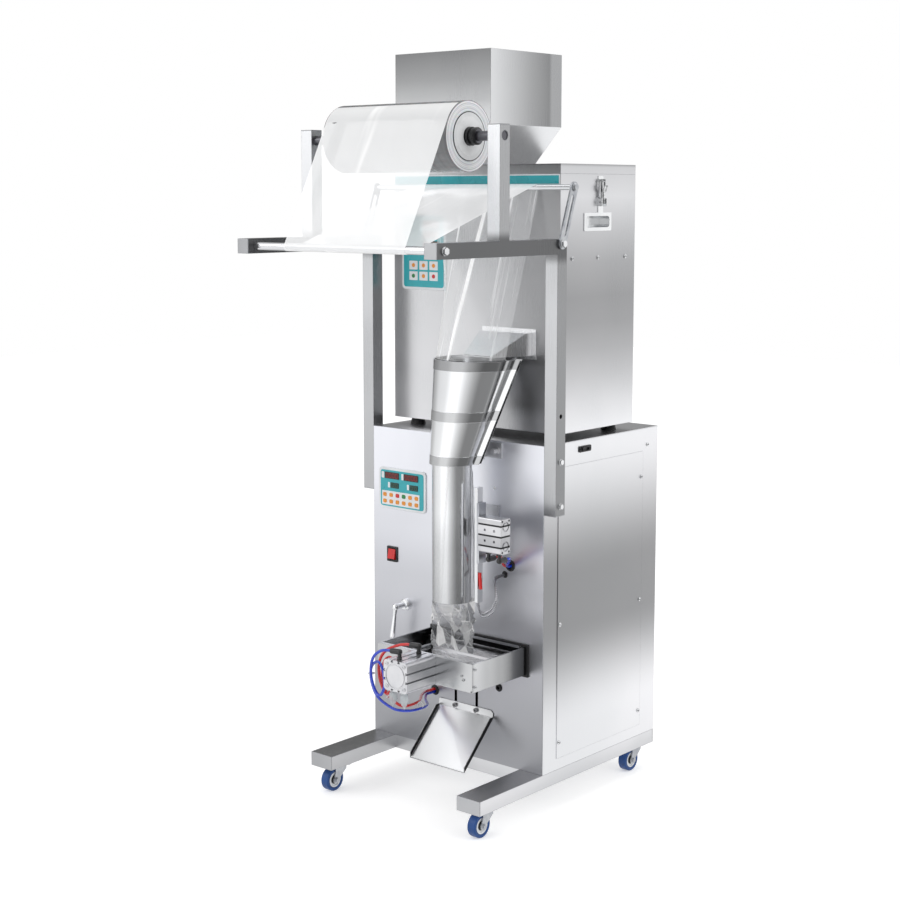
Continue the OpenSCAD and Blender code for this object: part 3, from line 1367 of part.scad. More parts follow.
// Compact cylinder along -Y, its mounting face at y = 0: a grooved body with a round cap
module compact_cylinder() {
  color("silver") difference() {
    union() {
      along_y_body(cyl_len) cylinder_profile();
      for (s = SIDES, t = SIDES) translate([s * cyl_s * 0.36, -cyl_len, t * cyl_s * 0.36])
        rotate([90, 0, 0]) socket_screw(8, 1.5);
    }
    rod_y(-cyl_len + head_t, -head_t, 0, 0, piston_d);
    rod_y(-head_t - 1, 1, 0, 0, piston_rod_d + 2 * run_fit);
    translate([0, -cyl_len, 0]) rotate([-90, 0, 0]) difference() {
      translate([0, 0, -1]) cylinder(h = 2.2, d = piston_d + 2);
      translate([0, 0, -2]) cylinder(h = 5, d = piston_d - 3);
    }
    for (y = cyl_ports) translate([0, y, cyl_s / 2 - 8]) cylinder(h = 10, d = 9);
  }
}

cyl_ports = [-cyl_len + 13, -15];

module along_y_body(len) { rotate([90, 0, 0]) linear_extrude(len) children(); }

module cylinder_profile() {
  difference() {
    rounded(cyl_s, cyl_s, 9);
    for (a = [0:90:270]) rotate(a) for (s = SIDES) translate([cyl_s / 2, s * 9]) {
      square([5, 3.4], center = true);
      translate([-3.4, 0]) square([2.6, 6], center = true);
    }
  }
}

module jaw_cylinders() {
  translate([tube_x, box_front, jaw_z]) compact_cylinder();
  translate([tube_x, sheet_t + back_plate_t, jaw_z]) rotate([0, 0, 180]) compact_cylinder();
}

// Fittings: push-in elbows, with their port at z = 0 and the hose leaving along -X
elbow_h = 16;
elbow_out = 17;

module elbow() {
  color([0.1, 0.1, 0.1]) difference() {
    union() {
      cylinder(h = 5, d = 12, $fn = 6);
      translate([0, 0, -6]) cylinder(h = elbow_h + 6, d = 8);
      translate([0, 0, elbow_h]) sphere(6);
      rod_x(-elbow_out, 0, 0, elbow_h, 11.6);
      rod_x(-elbow_out - 3, -elbow_out + eps, 0, elbow_h, 10);
    }
    rod_x(-elbow_out - 9, -elbow_out + 6, 0, elbow_h, hose_d + 2 * side_gap);
  }
}

// Flow control fitting hanging from a port: a knurled knob under a clear body
module silencer() {
  color("gainsboro") rotate([180, 0, 0]) {
    cylinder(h = 6, d = 13, $fn = 6);
    translate([0, 0, 5]) cylinder(h = 14, d1 = 15, d2 = 18);
    translate([0, 0, 18]) cylinder(h = 9, d1 = 14, d2 = 11);
    translate([0, 0, 26]) cylinder(h = 8, d1 = 9, d2 = 3);
  }
}

cyl_top = jaw_z + cyl_s / 2;
port_y = [box_front + cyl_ports[0], box_front + cyl_ports[1]];
twin_port_x = [twin_x0 + 16, twin_x0 + 44];

module air_fittings() {
  translate([tube_x, port_y[0], cyl_top]) rotate([0, 0, 14]) elbow();
  translate([tube_x, port_y[1], cyl_top]) rotate([0, 0, 14]) elbow();
  for (y = cyl_ports) translate([tube_x, sheet_t + back_plate_t - y, cyl_top]) elbow();
  for (x = [-14, 16]) translate([tube_x + x, port_y[0] - 4, jaw_z - cyl_s / 2]) silencer();
  for (x = twin_port_x) translate([x, -tube_y, twin_z - twin_h / 2]) rotate([180, 0, -90]) elbow();
}

// Hoses

hose_d = 6;

// Curve through the points p, with n pieces between each pair
function spline(p, n) = [for (i = [0:len(p) - 2]) each let (
  a = p[max(i - 1, 0)], b = p[i], c = p[i + 1], d = p[min(i + 2, len(p) - 1)])
  [for (k = [0:(i == len(p) - 2 ? n : n - 1)]) let (t = k / n)
    0.5 * (2 * b + (c - a) * t + (2 * a - 5 * b + 4 * c - d) * t * t
      + (3 * b - a - 3 * c + d) * t * t * t)]];
function unit(v) = v / norm(v);
function along(p, i) = unit(p[min(i + 1, len(p) - 1)] - p[max(i - 1, 0)]);
function carry(p, i, n) = i == len(p) ? [] : let (t = along(p, i), m = unit(n - (n * t) * t))
  concat([m], carry(p, i + 1, m));

module hose(route, d, sides) {
  first = along(route, 0);
  normals = carry(route, 0, abs(first[2]) < 0.8 ? [0, 0, 1] : [1, 0, 0]);
  ring_loft([for (i = [0:len(route) - 1]) let (t = along(route, i), n = normals[i], b = cross(t, n))
    [for (k = [0:sides - 1]) route[i] + d / 2 * (n * cos(k * 360 / sides) + b * sin(k * 360 / sides))]]);
}

red_route = [[55.13, -193.71, 373.5], [45.62, -196.08, 373.5], [38.83, -197.77, 373.5], [22, -206, 370],
  [2, -222, 358], [-6, -232, 334], [2, -238, 300], [24, -232, 266], [40, -206, 246],
  [28, -150, 240], [-20, -86, 230], [-54.5, -34, 219], [-57.5, -8, 217.1], [-57.5, 6, 217.1]];
blue_route = [[55.13, -251.71, 373.5], [45.62, -254.08, 373.5], [38.83, -255.77, 373.5], [24, -262, 370],
  [6, -264, 352], [8, -256, 318], [20, -246, 284], [44, -228, 250], [56, -190, 236],
  [34, -130, 228], [-18, -76, 218], [-54.5, -32, 211.5], [-57.5, -8, 210.9], [-57.5, 6, 210.9]];
twin_route = [[0, -77, 550.2], [0, -67, 550.2], [0, -58, 550.2], [-4, -40, 544], [-12, -22, 526],
  [-14, -8, 520], [-14, 6, 520]];
twin_end_x = [146.5, 153.5];

module air_hoses() {
  color("red") hose(spline(red_route, 2), hose_d, 8);
  color("blue") hose(spline(blue_route, 2), hose_d, 8);
  for (i = [0, 1]) color(i == 0 ? "red" : "blue") hose(spline([for (p = twin_route)
    [twin_port_x[i] + (twin_end_x[i] - twin_port_x[i]) * p[0] / -14, p[1], p[2]]], 2), hose_d, 8);
}

// Discharge chute: a flange on the panel, a slope at 45 degrees and folded side lips
chute_t = 1.5;
chute_fold_z = chute_top_z - chute_flange_h;
chute_lip = 12;
chute_off = side_gap;

module discharge_chute() {
  color("silver") translate([chute_x, -chute_off, 0]) {
    difference() {
      rotate([90, 0, 0]) linear_extrude(chute_t) polygon([
        [-chute_w / 2, chute_fold_z], [-chute_w / 2, chute_top_z - 3],
        [-chute_w / 2 + 3, chute_top_z], [chute_w / 2 - 6, chute_top_z],
        [chute_w / 2, chute_top_z - 6], [chute_w / 2, chute_fold_z]]);
      for (s = SIDES) rod_y(-5, 5, s * slot_pitch / 2, chute_screw_z, 6);
    }
    run = chute_reach - chute_off;
    translate([-chute_w / 2, 0, 0]) along_x() linear_extrude(chute_w) polygon([
      [0, chute_fold_z], [-run, chute_fold_z - run], [-run, chute_fold_z - run + chute_t * 1.414],
      [-chute_t, chute_fold_z + chute_t * 0.414], [-chute_t, chute_fold_z + 1], [0, chute_fold_z + 1]]);
    for (s = SIDES) translate([s * (chute_w / 2 - chute_t / 2) - chute_t / 2, 0, 0])
      along_x() linear_extrude(chute_t) polygon([[-2, chute_fold_z - 1],
        [-run, chute_fold_z - run], [-run, chute_fold_z - run + chute_lip],
        [-chute_lip, chute_fold_z + 2], [-2, chute_fold_z + 2]]);
  }
}

module chute_screws() {
  y = -chute_off - chute_t;
  color("silver") for (s = SIDES)
    translate([chute_x + s * slot_pitch / 2, y, chute_screw_z]) {
      rotate([90, 0, 0]) socket_screw(10, 4);
      rod_y(-eps, 14, 0, 0, 6);
      rod_y(-y + sheet_t + side_gap, -y + sheet_t + side_gap + 5, 0, 0, 11);
    }
}

// Inside the cabinet: the valve block on its rail, and the power supply on the floor
module air_valves() {
  floor_z = cab_z + sheet_t;
  color("dimgray") {
    span([-190, 150, floor_z], [-60, 250, floor_z + 90]);
    for (i = [0:3]) span([-184 + i * 32, 160, floor_z + 90 - eps], [-160 + i * 32, 240, floor_z + 120]);
  }
  color("silver") {
    span([40, 300, floor_z], [170, 360, floor_z + 12]);
    span([44, 304, floor_z + 12 - eps], [166, 356, floor_z + 34]);
    for (i = [0:2]) span([52 + i * 38, 306, floor_z + 34 - eps], [78 + i * 38, 354, floor_z + 78]);
  }
}

in_frame() base_rails();
in_frame() tube_caps();
in_frame() caster_plates();
in_frame() at_caster(0) fork();  // fork_front_left
in_frame() at_caster(1) fork();  // fork_front_right
in_frame() at_caster(2) fork();  // fork_rear_left
in_frame() at_caster(3) fork();  // fork_rear_right
in_frame() at_caster(0) wheel();  // wheel_front_left
in_frame() at_caster(1) wheel();  // wheel_front_right
in_frame() at_caster(2) wheel();  // wheel_rear_left
in_frame() at_caster(3) wheel();  // wheel_rear_right
in_frame() cabinet_frame();
in_frame() front_panel();
in_frame() side_covers();
in_frame() rear_cover();
in_frame() fasteners();
in_frame() control_panels();
in_frame() switch_bezel();
in_frame() rocker_switch();
in_frame() lever_rose();
in_frame() lever();
in_frame() rubber_grommets();
in_frame() connectors();
in_frame() weigher_feet();
in_frame() weigher_case();
in_frame() weigher_lid();
in_frame() case_hardware();
in_frame() latch_left();
in_frame() latch_right();
in_frame() hopper();
in_frame() feeder_tray();
in_frame() feeder_drive();
in_frame() weigh_bucket();
in_frame() bucket_gate();
in_frame() load_cell();
in_frame() outlet_spout();
in_frame() film_frame();
in_frame() roll_shaft();
in_frame() film_core();
in_frame() film_roll();
in_frame() guide_roller();
in_frame() dancer_arms();
in_frame() dancer_roller();
in_frame() forming_collar();
in_frame() filling_tube();
in_frame() former_bracket();
in_frame() film_web();
in_frame() bag_tube();
in_frame() twin_rod_cylinder();
in_frame() seal_carriage();
in_frame() seal_bar();
in_frame() jaw_frame();
in_frame() front_jaw();
in_frame() rear_jaw();
in_frame() jaw_cylinders();
in_frame() air_fittings();
in_frame() air_hoses();
in_frame() discharge_chute();
in_frame() chute_screws();
in_frame() air_valves();
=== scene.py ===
"""Dresses the pneumatic packaging machine: studio, finishes, film, bag, control panels and air hoses.

Sizes are written as on the drawing, in millimetres from the middle of the machine's front
at floor level, and place() turns them into the shared frame.
"""

import logging
import math
from dataclasses import dataclass, field
from enum import Enum

import bmesh
import bpy
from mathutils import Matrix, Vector, noise


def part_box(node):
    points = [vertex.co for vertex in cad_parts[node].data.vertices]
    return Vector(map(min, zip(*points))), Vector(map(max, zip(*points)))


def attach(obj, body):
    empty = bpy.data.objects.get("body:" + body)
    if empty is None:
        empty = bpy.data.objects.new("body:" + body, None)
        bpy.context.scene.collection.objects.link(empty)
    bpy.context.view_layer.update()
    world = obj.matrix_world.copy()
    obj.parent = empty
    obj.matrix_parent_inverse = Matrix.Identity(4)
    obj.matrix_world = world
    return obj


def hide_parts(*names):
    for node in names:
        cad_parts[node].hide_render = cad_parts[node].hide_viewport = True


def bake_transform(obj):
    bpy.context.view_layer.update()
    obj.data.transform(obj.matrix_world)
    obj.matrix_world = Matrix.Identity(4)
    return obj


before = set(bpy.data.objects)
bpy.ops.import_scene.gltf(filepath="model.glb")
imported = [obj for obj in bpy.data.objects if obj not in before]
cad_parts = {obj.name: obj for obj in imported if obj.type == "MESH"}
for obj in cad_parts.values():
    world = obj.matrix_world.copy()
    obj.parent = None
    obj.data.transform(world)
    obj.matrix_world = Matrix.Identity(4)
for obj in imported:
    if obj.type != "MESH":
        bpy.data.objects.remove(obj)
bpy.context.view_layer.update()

log = logging.getLogger("packaging_machine")

MID_Y = 28.0
Pair = tuple[float, float]
Point = tuple[float, float, float]
Colour = tuple[float, float, float, float]
PaintedShade = tuple[Point, Point, tuple[Pair, ...]]
Rows = list[list[Vector]]
Face = tuple[int, ...]
Piece = bpy.types.Object
Tree = bpy.types.NodeTree
Node = bpy.types.Node
Socket = bpy.types.NodeSocket
Sockets = bpy.types.bpy_prop_collection


def place(x: float, y: float, z: float) -> Vector:
    """Point of the drawing, in millimetres, as a point of the shared frame in metres."""
    return Vector((x, y - MID_Y, z)) / 1000


def rgb(red: float, green: float, blue: float) -> Colour:
    """Display colour from 0 to 1 as the linear colour that shaders take."""
    return (*[c / 12.92 if c <= 0.04045 else ((c + 0.055) / 1.055) ** 2.4 for c in (red, green, blue)], 1.0)


PURE_WHITE = rgb(1.0, 1.0, 1.0)


def smooth(t: float) -> float:
    """Smooth step of t between 0 and 1."""
    t = min(1.0, max(0.0, t))
    return t * t * (3 - 2 * t)


def fade(start: Point, end: Point, *stops: Pair) -> PaintedShade:
    """Painted shade and light between two places of the drawing; each stop is a share of the way and a
    brightness.
    """
    return tuple(place(*start)), tuple(place(*end)), stops


def fall(top: float, foot: float, *stops: Pair) -> PaintedShade:
    """Painted shade and light from one height down to another."""
    return fade((0, 0, top), (0, 0, foot), *stops)


class Axis(Enum):
    """Direction that a sheet's brush lines run in."""

    ALONG_X = (3.0, 400.0, 400.0)
    ALONG_Y = (400.0, 3.0, 400.0)
    ALONG_Z = (400.0, 400.0, 3.0)
    ROUND = (60.0, 60.0, 60.0)


class Nodes:
    """Short hand for a node tree."""

    def __init__(self, tree: Tree) -> None:
        """Keeps the tree."""
        self.tree = tree

    def put(self, node: Node, values: dict) -> None:
        """Sets a node's inputs, and links those whose value is a socket.

        Args:
            node: the node.
            values: values or sockets by the input's name or index.
        """
        for name, value in values.items():
            if isinstance(value, Socket):
                self.tree.links.new(value, node.inputs[name])
            else:
                node.inputs[name].default_value = value

    def add(self, kind: str, values: dict | None = None, **props: object) -> Node:
        """Adds a node.

        Args:
            kind: the node's type name.
            values: values or sockets for its inputs, by name or index.
            props: attributes of the node.

        Returns:
            The new node.
        """
        node = self.tree.nodes.new(kind)
        for name, value in props.items():
            setattr(node, name, value)
        self.put(node, values or {})
        return node

    def math(self, operation: str, a: object, b: object = 0.0, clamp: bool = False) -> Socket:
        """Arithmetic on two numbers or sockets."""
        return self.add("ShaderNodeMath", {0: a, 1: b}, operation=operation, use_clamp=clamp).outputs[0]

    def vector(self, operation: str, *values: object) -> Sockets:
        """Arithmetic on vectors, with the outputs Vector and Value."""
        return self.add("ShaderNodeVectorMath", dict(enumerate(values)), operation=operation).outputs

    def ramp(self, value: object, low: object, high: object, to_low: float = 0.0,
             to_high: float = 1.0) -> Socket:
        """Value mapped smoothly from low..high to to_low..to_high."""
        return self.add("ShaderNodeMapRange", {0: value, 1: low, 2: high, 3: to_low, 4: to_high},
                        interpolation_type="SMOOTHSTEP").outputs[0]

    def mix(self, factor: object, a: object, b: object, blend: str = "MIX") -> Socket:
        """Colour between a and b, or a blended with b in another way."""
        return self.add("ShaderNodeMix", {0: factor, 6: a, 7: b}, data_type="RGBA",
                        blend_type=blend).outputs[2]

    def noise(self, scale: object, detail: float, where: Socket | None = None, **more: float) -> Sockets:
        """Noise over the surface, or over another vector.

        Args:
            scale: how fine it is.
            detail: how many finer layers it has.
            where: the vector, or None for the surface.
            more: other inputs of the noise.

        Returns:
            The noise's outputs, the value first.
        """
        spot = self.place() if where is None else where
        return self.add("ShaderNodeTexNoise", {"Vector": spot, "Scale": scale, "Detail": detail,
                                               **more}).outputs

    def split(self, vector: Socket) -> Sockets:
        """A vector's X, Y and Z."""
        return self.add("ShaderNodeSeparateXYZ", {0: vector}).outputs

    def place(self) -> Socket:
        """Object coordinates of the surface."""
        return self.add("ShaderNodeTexCoord").outputs["Object"]

    def normal(self) -> Socket:
        """The surface's own normal."""
        return self.add("ShaderNodeNewGeometry").outputs["Normal"]

    def web(self) -> Socket:
        """The UV map that runs across and along a sheet or tube."""
        return self.add("ShaderNodeUVMap", uv_map="web").outputs[0]

    def along(self, start: Point, end: Point) -> Socket:
        """How far the surface lies between two points.

        Args:
            start: the point, in the shared frame, where the share is 0.
            end: the point where it is 1.

        Returns:
            The share's socket.
        """
        run = Vector(end) - Vector(start)
        shift = self.vector("SUBTRACT", self.place(), tuple(start))[0]
        return self.vector("DOT_PRODUCT", shift, tuple(run / run.length_squared))["Value"]

    def from_axle(self, centre: Point) -> Socket:
        """Distance of the surface from an axle along X."""
        shift = self.vector("SUBTRACT", self.place(), tuple(centre))[0]
        return self.vector("LENGTH", self.vector("MULTIPLY", shift, (0.0, 1.0, 1.0))[0])["Value"]

    def bump(self, height: Socket, strength: float, distance: float, normal: Socket | None = None) -> Socket:
        """Normal that follows a height.

        Args:
            height: the height.
            strength: how much of it shows, from 0 to 1.
            distance: how high 1 stands, in metres.
            normal: the normal that it starts from, or None for the surface's own.

        Returns:
            The normal's socket.
        """
        under = {} if normal is None else {"Normal": normal}
        return self.add("ShaderNodeBump", {"Strength": strength, "Distance": distance, "Height": height,
                                           **under}).outputs[0]

    def group(self, tree: Tree, **values: float | Point) -> Sockets:
        """Outputs of a shared group, placed with its own values."""
        return self.add("ShaderNodeGroup", values, node_tree=tree).outputs

    def tones(self, value: Socket, stops: tuple[Pair, ...], curve: str = "EASE") -> Socket:
        """Grey that follows the stops.

        Args:
            value: where along the band, from 0 to 1.
            stops: places from 0 to 1 with a brightness each.
            curve: how the band runs between them.

        Returns:
            The grey's socket.
        """
        node = self.add("ShaderNodeValToRGB", {0: value})
        band = node.color_ramp
        band.interpolation = curve
        while len(band.elements) < len(stops):
            band.elements.new(0.5)
        for i, (at, level) in enumerate(stops):
            band.elements[i].position = at
            band.elements[i].color = (level, level, level, 1.0)
        return node.outputs[0]


def group_tree(name: str, inputs: dict[str, float | Point], *outputs: str) -> tuple[Nodes, Sockets, Node]:
    """Starts a shader node group.

    Args:
        name: the group's name.
        inputs: default values by name; a triple makes a vector.
        outputs: names of the outputs, numbers apart from Normal.

    Returns:
        The tree's writer, the group's inputs as sockets and its output node.
    """
    tree = bpy.data.node_groups.new(name, "ShaderNodeTree")
    for key, value in inputs.items():
        kind = "NodeSocketVector" if isinstance(value, tuple) else "NodeSocketFloat"
        tree.interface.new_socket(name=key, in_out="INPUT", socket_type=kind).default_value = value
    for key in outputs:
        kind = "NodeSocketVector" if key == "Normal" else "NodeSocketFloat"
        tree.interface.new_socket(name=key, in_out="OUTPUT", socket_type=kind)
    n = Nodes(tree)
    return n, n.add("NodeGroupInput").outputs, n.add("NodeGroupOutput")


def brushed_grain() -> Tree:
    """Fine lines drawn out along one axis.

    Returns:
        A group with inputs Stretch and Fineness and outputs Mask and Height.
    """
    n, given, end = group_tree("brushed_grain", {"Stretch": (90.0, 90.0, 1.5), "Fineness": 6.0},
                               "Mask", "Height")
    drawn = n.vector("MULTIPLY", n.place(), given["Stretch"])[0]
    fine = n.noise(given["Fineness"], 5.0, drawn, Roughness=0.7)[0]
    n.put(end, {"Mask": n.ramp(fine, 0.3, 0.7), "Height": fine})
    return n.tree


def soft_smudge() -> Tree:
    """Large soft clouds, as on wiped sheet metal.

    Returns:
        A group with inputs Size and Spread and the output Mask.
    """
    n, given, end = group_tree("soft_smudge", {"Size": 3.0, "Spread": 0.2}, "Mask")
    clouds = n.noise(given["Size"], 3.0, Roughness=0.55, Distortion=0.4)[0]
    low, high = (n.math(way, 0.5, given["Spread"]) for way in ("SUBTRACT", "ADD"))
    n.put(end, {"Mask": n.ramp(clouds, low, high)})
    return n.tree


def edge_wear_and_light() -> Tree:
    """Mask of the edges, where colour is painted as wear and as catching light, with the rounded normal.

    Returns:
        A group with the input Radius and outputs Mask and Normal.
    """
    n, given, end = group_tree("edge_wear_and_light", {"Radius": 0.0012}, "Mask", "Normal")
    bevel = n.add("ShaderNodeBevel", {"Radius": given["Radius"]}, samples=4).outputs[0]
    facing = n.vector("DOT_PRODUCT", bevel, n.normal())["Value"]
    n.put(end, {"Mask": n.ramp(facing, 0.98, 0.75), "Normal": bevel})
    return n.tree


def settled_dust() -> Tree:
    """Fine product dust on faces that look up.

    Returns:
        A group with the input Amount and the output Mask.
    """
    n, given, end = group_tree("settled_dust", {"Amount": 0.5}, "Mask")
    up = n.ramp(n.split(n.normal())["Z"], 0.5, 1.0)
    speckle = n.ramp(n.noise(140.0, 4.0)[0], 0.45, 0.7)
    n.put(end, {"Mask": n.math("MULTIPLY", n.math("MULTIPLY", up, speckle), given["Amount"])})
    return n.tree


GRAIN, SMUDGE, WEAR_AND_LIGHT, DUST = brushed_grain(), soft_smudge(), edge_wear_and_light(), settled_dust()


@dataclass(frozen=True)
class Finish:
    """A surface finish; each kind gives its own shader inputs."""

    name: str
    slot: str

    def material(self) -> bpy.types.Material:
        """Finds the finish's material.

        Returns:
            The material, built at its first use.
        """
        found = bpy.data.materials.get("finish_" + self.name)
        if found is None:
            found = bpy.data.materials.new("finish_" + self.name)
            found.use_nodes = True
            n = Nodes(found.node_tree)
            n.put(found.node_tree.nodes["Principled BSDF"], self.inputs(n))
        return found

    def inputs(self, n: Nodes) -> dict[str, object]:
        """Numbers, colours and sockets for the shader's inputs, by name."""
        raise NotImplementedError


@dataclass(frozen=True)
class Steel(Finish):
    """Sheet, tube or turned metal with brush lines, clouds, painted shade and light that fade across it,
    edges worn and painted in a rim colour (light rims a painted highlight, dark rims painted shade) and a
    little dust.
    """

    light: Colour = rgb(0.87, 0.875, 0.885)
    dark: Colour = rgb(0.82, 0.825, 0.84)
    axis: Axis = Axis.ALONG_Z
    rough: float = 0.27
    fineness: float = 6.0
    cloud: float = 3.0
    # The fades and side fades are painted shade and light multiplied into the colour, the side fades only on
    # faces that look along X.
    fades: tuple[PaintedShade, ...] = ()
    sides: tuple[PaintedShade, ...] = ()
    curve: str = "EASE"
    edge: float = 0.0012
    # The rim colour is laid on the edges with their wear: light rims are a painted highlight, dark rims
    # painted shade.
    rim: Colour = rgb(0.95, 0.96, 0.97)
    dust: float = 0.15

    def paint_shading(self, n: Nodes, colour: Socket, fades: tuple[PaintedShade, ...]) -> Socket:
        """Multiplies each painted fade of shade and light in turn into a colour.

        Args:
            n: the material's node tree.
            colour: the colour's socket.
            fades: the painted fades of shade and light.

        Returns:
            The colour's socket, with the painted shade and light.
        """
        for start, end, stops in fades:
            colour = n.mix(1.0, colour, n.tones(n.along(start, end), stops, self.curve), "MULTIPLY")
        return colour

    def inputs(self, n: Nodes) -> dict[str, object]:
        """Mixes the clouds, the painted shade and light of front and sides, brush lines, edges painted as
        worn and lit, and dust.

        Args:
            n: the material's node tree.

        Returns:
            The shader's inputs by name.
        """
        grain = n.group(GRAIN, Stretch=self.axis.value, Fineness=self.fineness)
        smudge = n.group(SMUDGE, Size=self.cloud, Spread=0.22)["Mask"]
        wear_and_light = n.group(WEAR_AND_LIGHT, Radius=self.edge)
        dust = n.group(DUST, Amount=self.dust)["Mask"]
        plain = n.mix(smudge, self.dark, self.light)
        # Painted shade and light: the fades darken and lighten the colour by place, and the side fades do so
        # on faces that look along X.
        colour = self.paint_shading(n, plain, self.fades)
        if self.sides:
            sideways = n.ramp(n.math("ABSOLUTE", n.split(n.normal())["X"]), 0.93, 0.98)
            colour = n.mix(sideways, colour, self.paint_shading(n, plain, self.sides))
        lined = n.mix(1.0, colour, n.ramp(grain["Mask"], 0.0, 1.0, 0.99, 1.006), "MULTIPLY")
        # Painted edges: the rim colour as wear, a painted highlight where light and painted shade where
        # dark.
        painted_edges = n.mix(n.math("MULTIPLY", wear_and_light["Mask"], 0.6), lined, self.rim)
        rough = n.math("ADD", n.ramp(grain["Mask"], 0.0, 1.0, self.rough - 0.02, self.rough + 0.02),
                       n.math("MULTIPLY", smudge, 0.05))
        return {"Base Color": n.mix(dust, painted_edges, rgb(0.88, 0.87, 0.85)),
                "Metallic": 1.0,
                "Roughness": n.math("ADD", rough, n.math("MULTIPLY", dust, 0.3), clamp=True),
                "Normal": n.bump(grain["Height"], 0.1, 0.00001, wear_and_light["Normal"])}


@dataclass(frozen=True)
class Moulded(Finish):
    """Moulded or printed plastic and rubber: a fine skin, soft wear with a painted highlight on edges and
    some dust.
    """

    colour: Colour = rgb(0.9, 0.9, 0.9)
    rough: float = 0.4
    pores: float = 900.0
    depth: float = 0.15
    worn_and_lit: Colour = rgb(0.95, 0.95, 0.95)
    wear_and_light: float = 0.25
    coat: float = 0.0
    glow: float = 0.0

    def inputs(self, n: Nodes) -> dict[str, object]:
        """Mixes tone, edges painted as worn and lit, and dust over a pored skin.

        Args:
            n: the material's node tree.

        Returns:
            The shader's inputs by name.
        """
        smudge = n.group(SMUDGE, Size=18.0, Spread=0.25)["Mask"]
        wear_and_light = n.group(WEAR_AND_LIGHT, Radius=0.0008)
        dust = n.group(DUST, Amount=0.2)["Mask"]
        tone = n.mix(smudge, (*[c * 0.88 for c in self.colour[:3]], 1.0), self.colour)
        # Edges take the worn colour, as wear and as a painted highlight.
        worn_and_lit = n.mix(n.math("MULTIPLY", wear_and_light["Mask"], self.wear_and_light), tone, self.worn_and_lit)
        found = {"Base Color": n.mix(dust, worn_and_lit, rgb(0.8, 0.79, 0.77)),
                 "Roughness": n.ramp(smudge, 0.0, 1.0, self.rough - 0.05, self.rough + 0.07),
                 "Coat Weight": self.coat,
                 "Normal": n.bump(n.noise(self.pores, 3.0)[0], self.depth, 0.0003, wear_and_light["Normal"])}
        if self.glow:
            found |= {"Emission Strength": self.glow,
                      "Emission Color": n.mix(smudge, self.colour, self.worn_and_lit)}
        return found


@dataclass(frozen=True)
class Wheel(Finish):
    """White hub and coloured tread about a caster's axle, with painted shade in the hub's bore."""

    centre: Point = (0.0, 0.0, 0.0)
    tread: Colour = rgb(0.03, 0.25, 0.50)
    hub: Colour = rgb(0.93, 0.94, 0.95)
    hub_r: float = 0.0165
    bore_r: float = 0.0096

    def inputs(self, n: Nodes) -> dict[str, object]:
        """Splits the wheel by its distance from the axle, with painted shade in the bore.

        Args:
            n: the material's node tree.

        Returns:
            The shader's inputs by name.
        """
        far = n.from_axle(self.centre)
        mask, outside = (n.ramp(far, r, r + 0.0006) for r in (self.hub_r, self.bore_r))
        smudge = n.group(SMUDGE, Size=40.0, Spread=0.2)["Mask"]
        scuff = n.mix(smudge, self.tread, (*[c * 1.3 + 0.01 for c in self.tread[:3]], 1.0))
        # Inside the bore the hub is painted dark: painted shade in its deep hollow.
        return {"Base Color": n.mix(mask, n.mix(outside, rgb(0.13, 0.13, 0.14), self.hub), scuff),
                "Roughness": n.ramp(mask, 0.0, 1.0, 0.3, 0.45),
                "Normal": n.bump(n.noise(500.0, 2.0)[0], 0.1, 0.0003)}


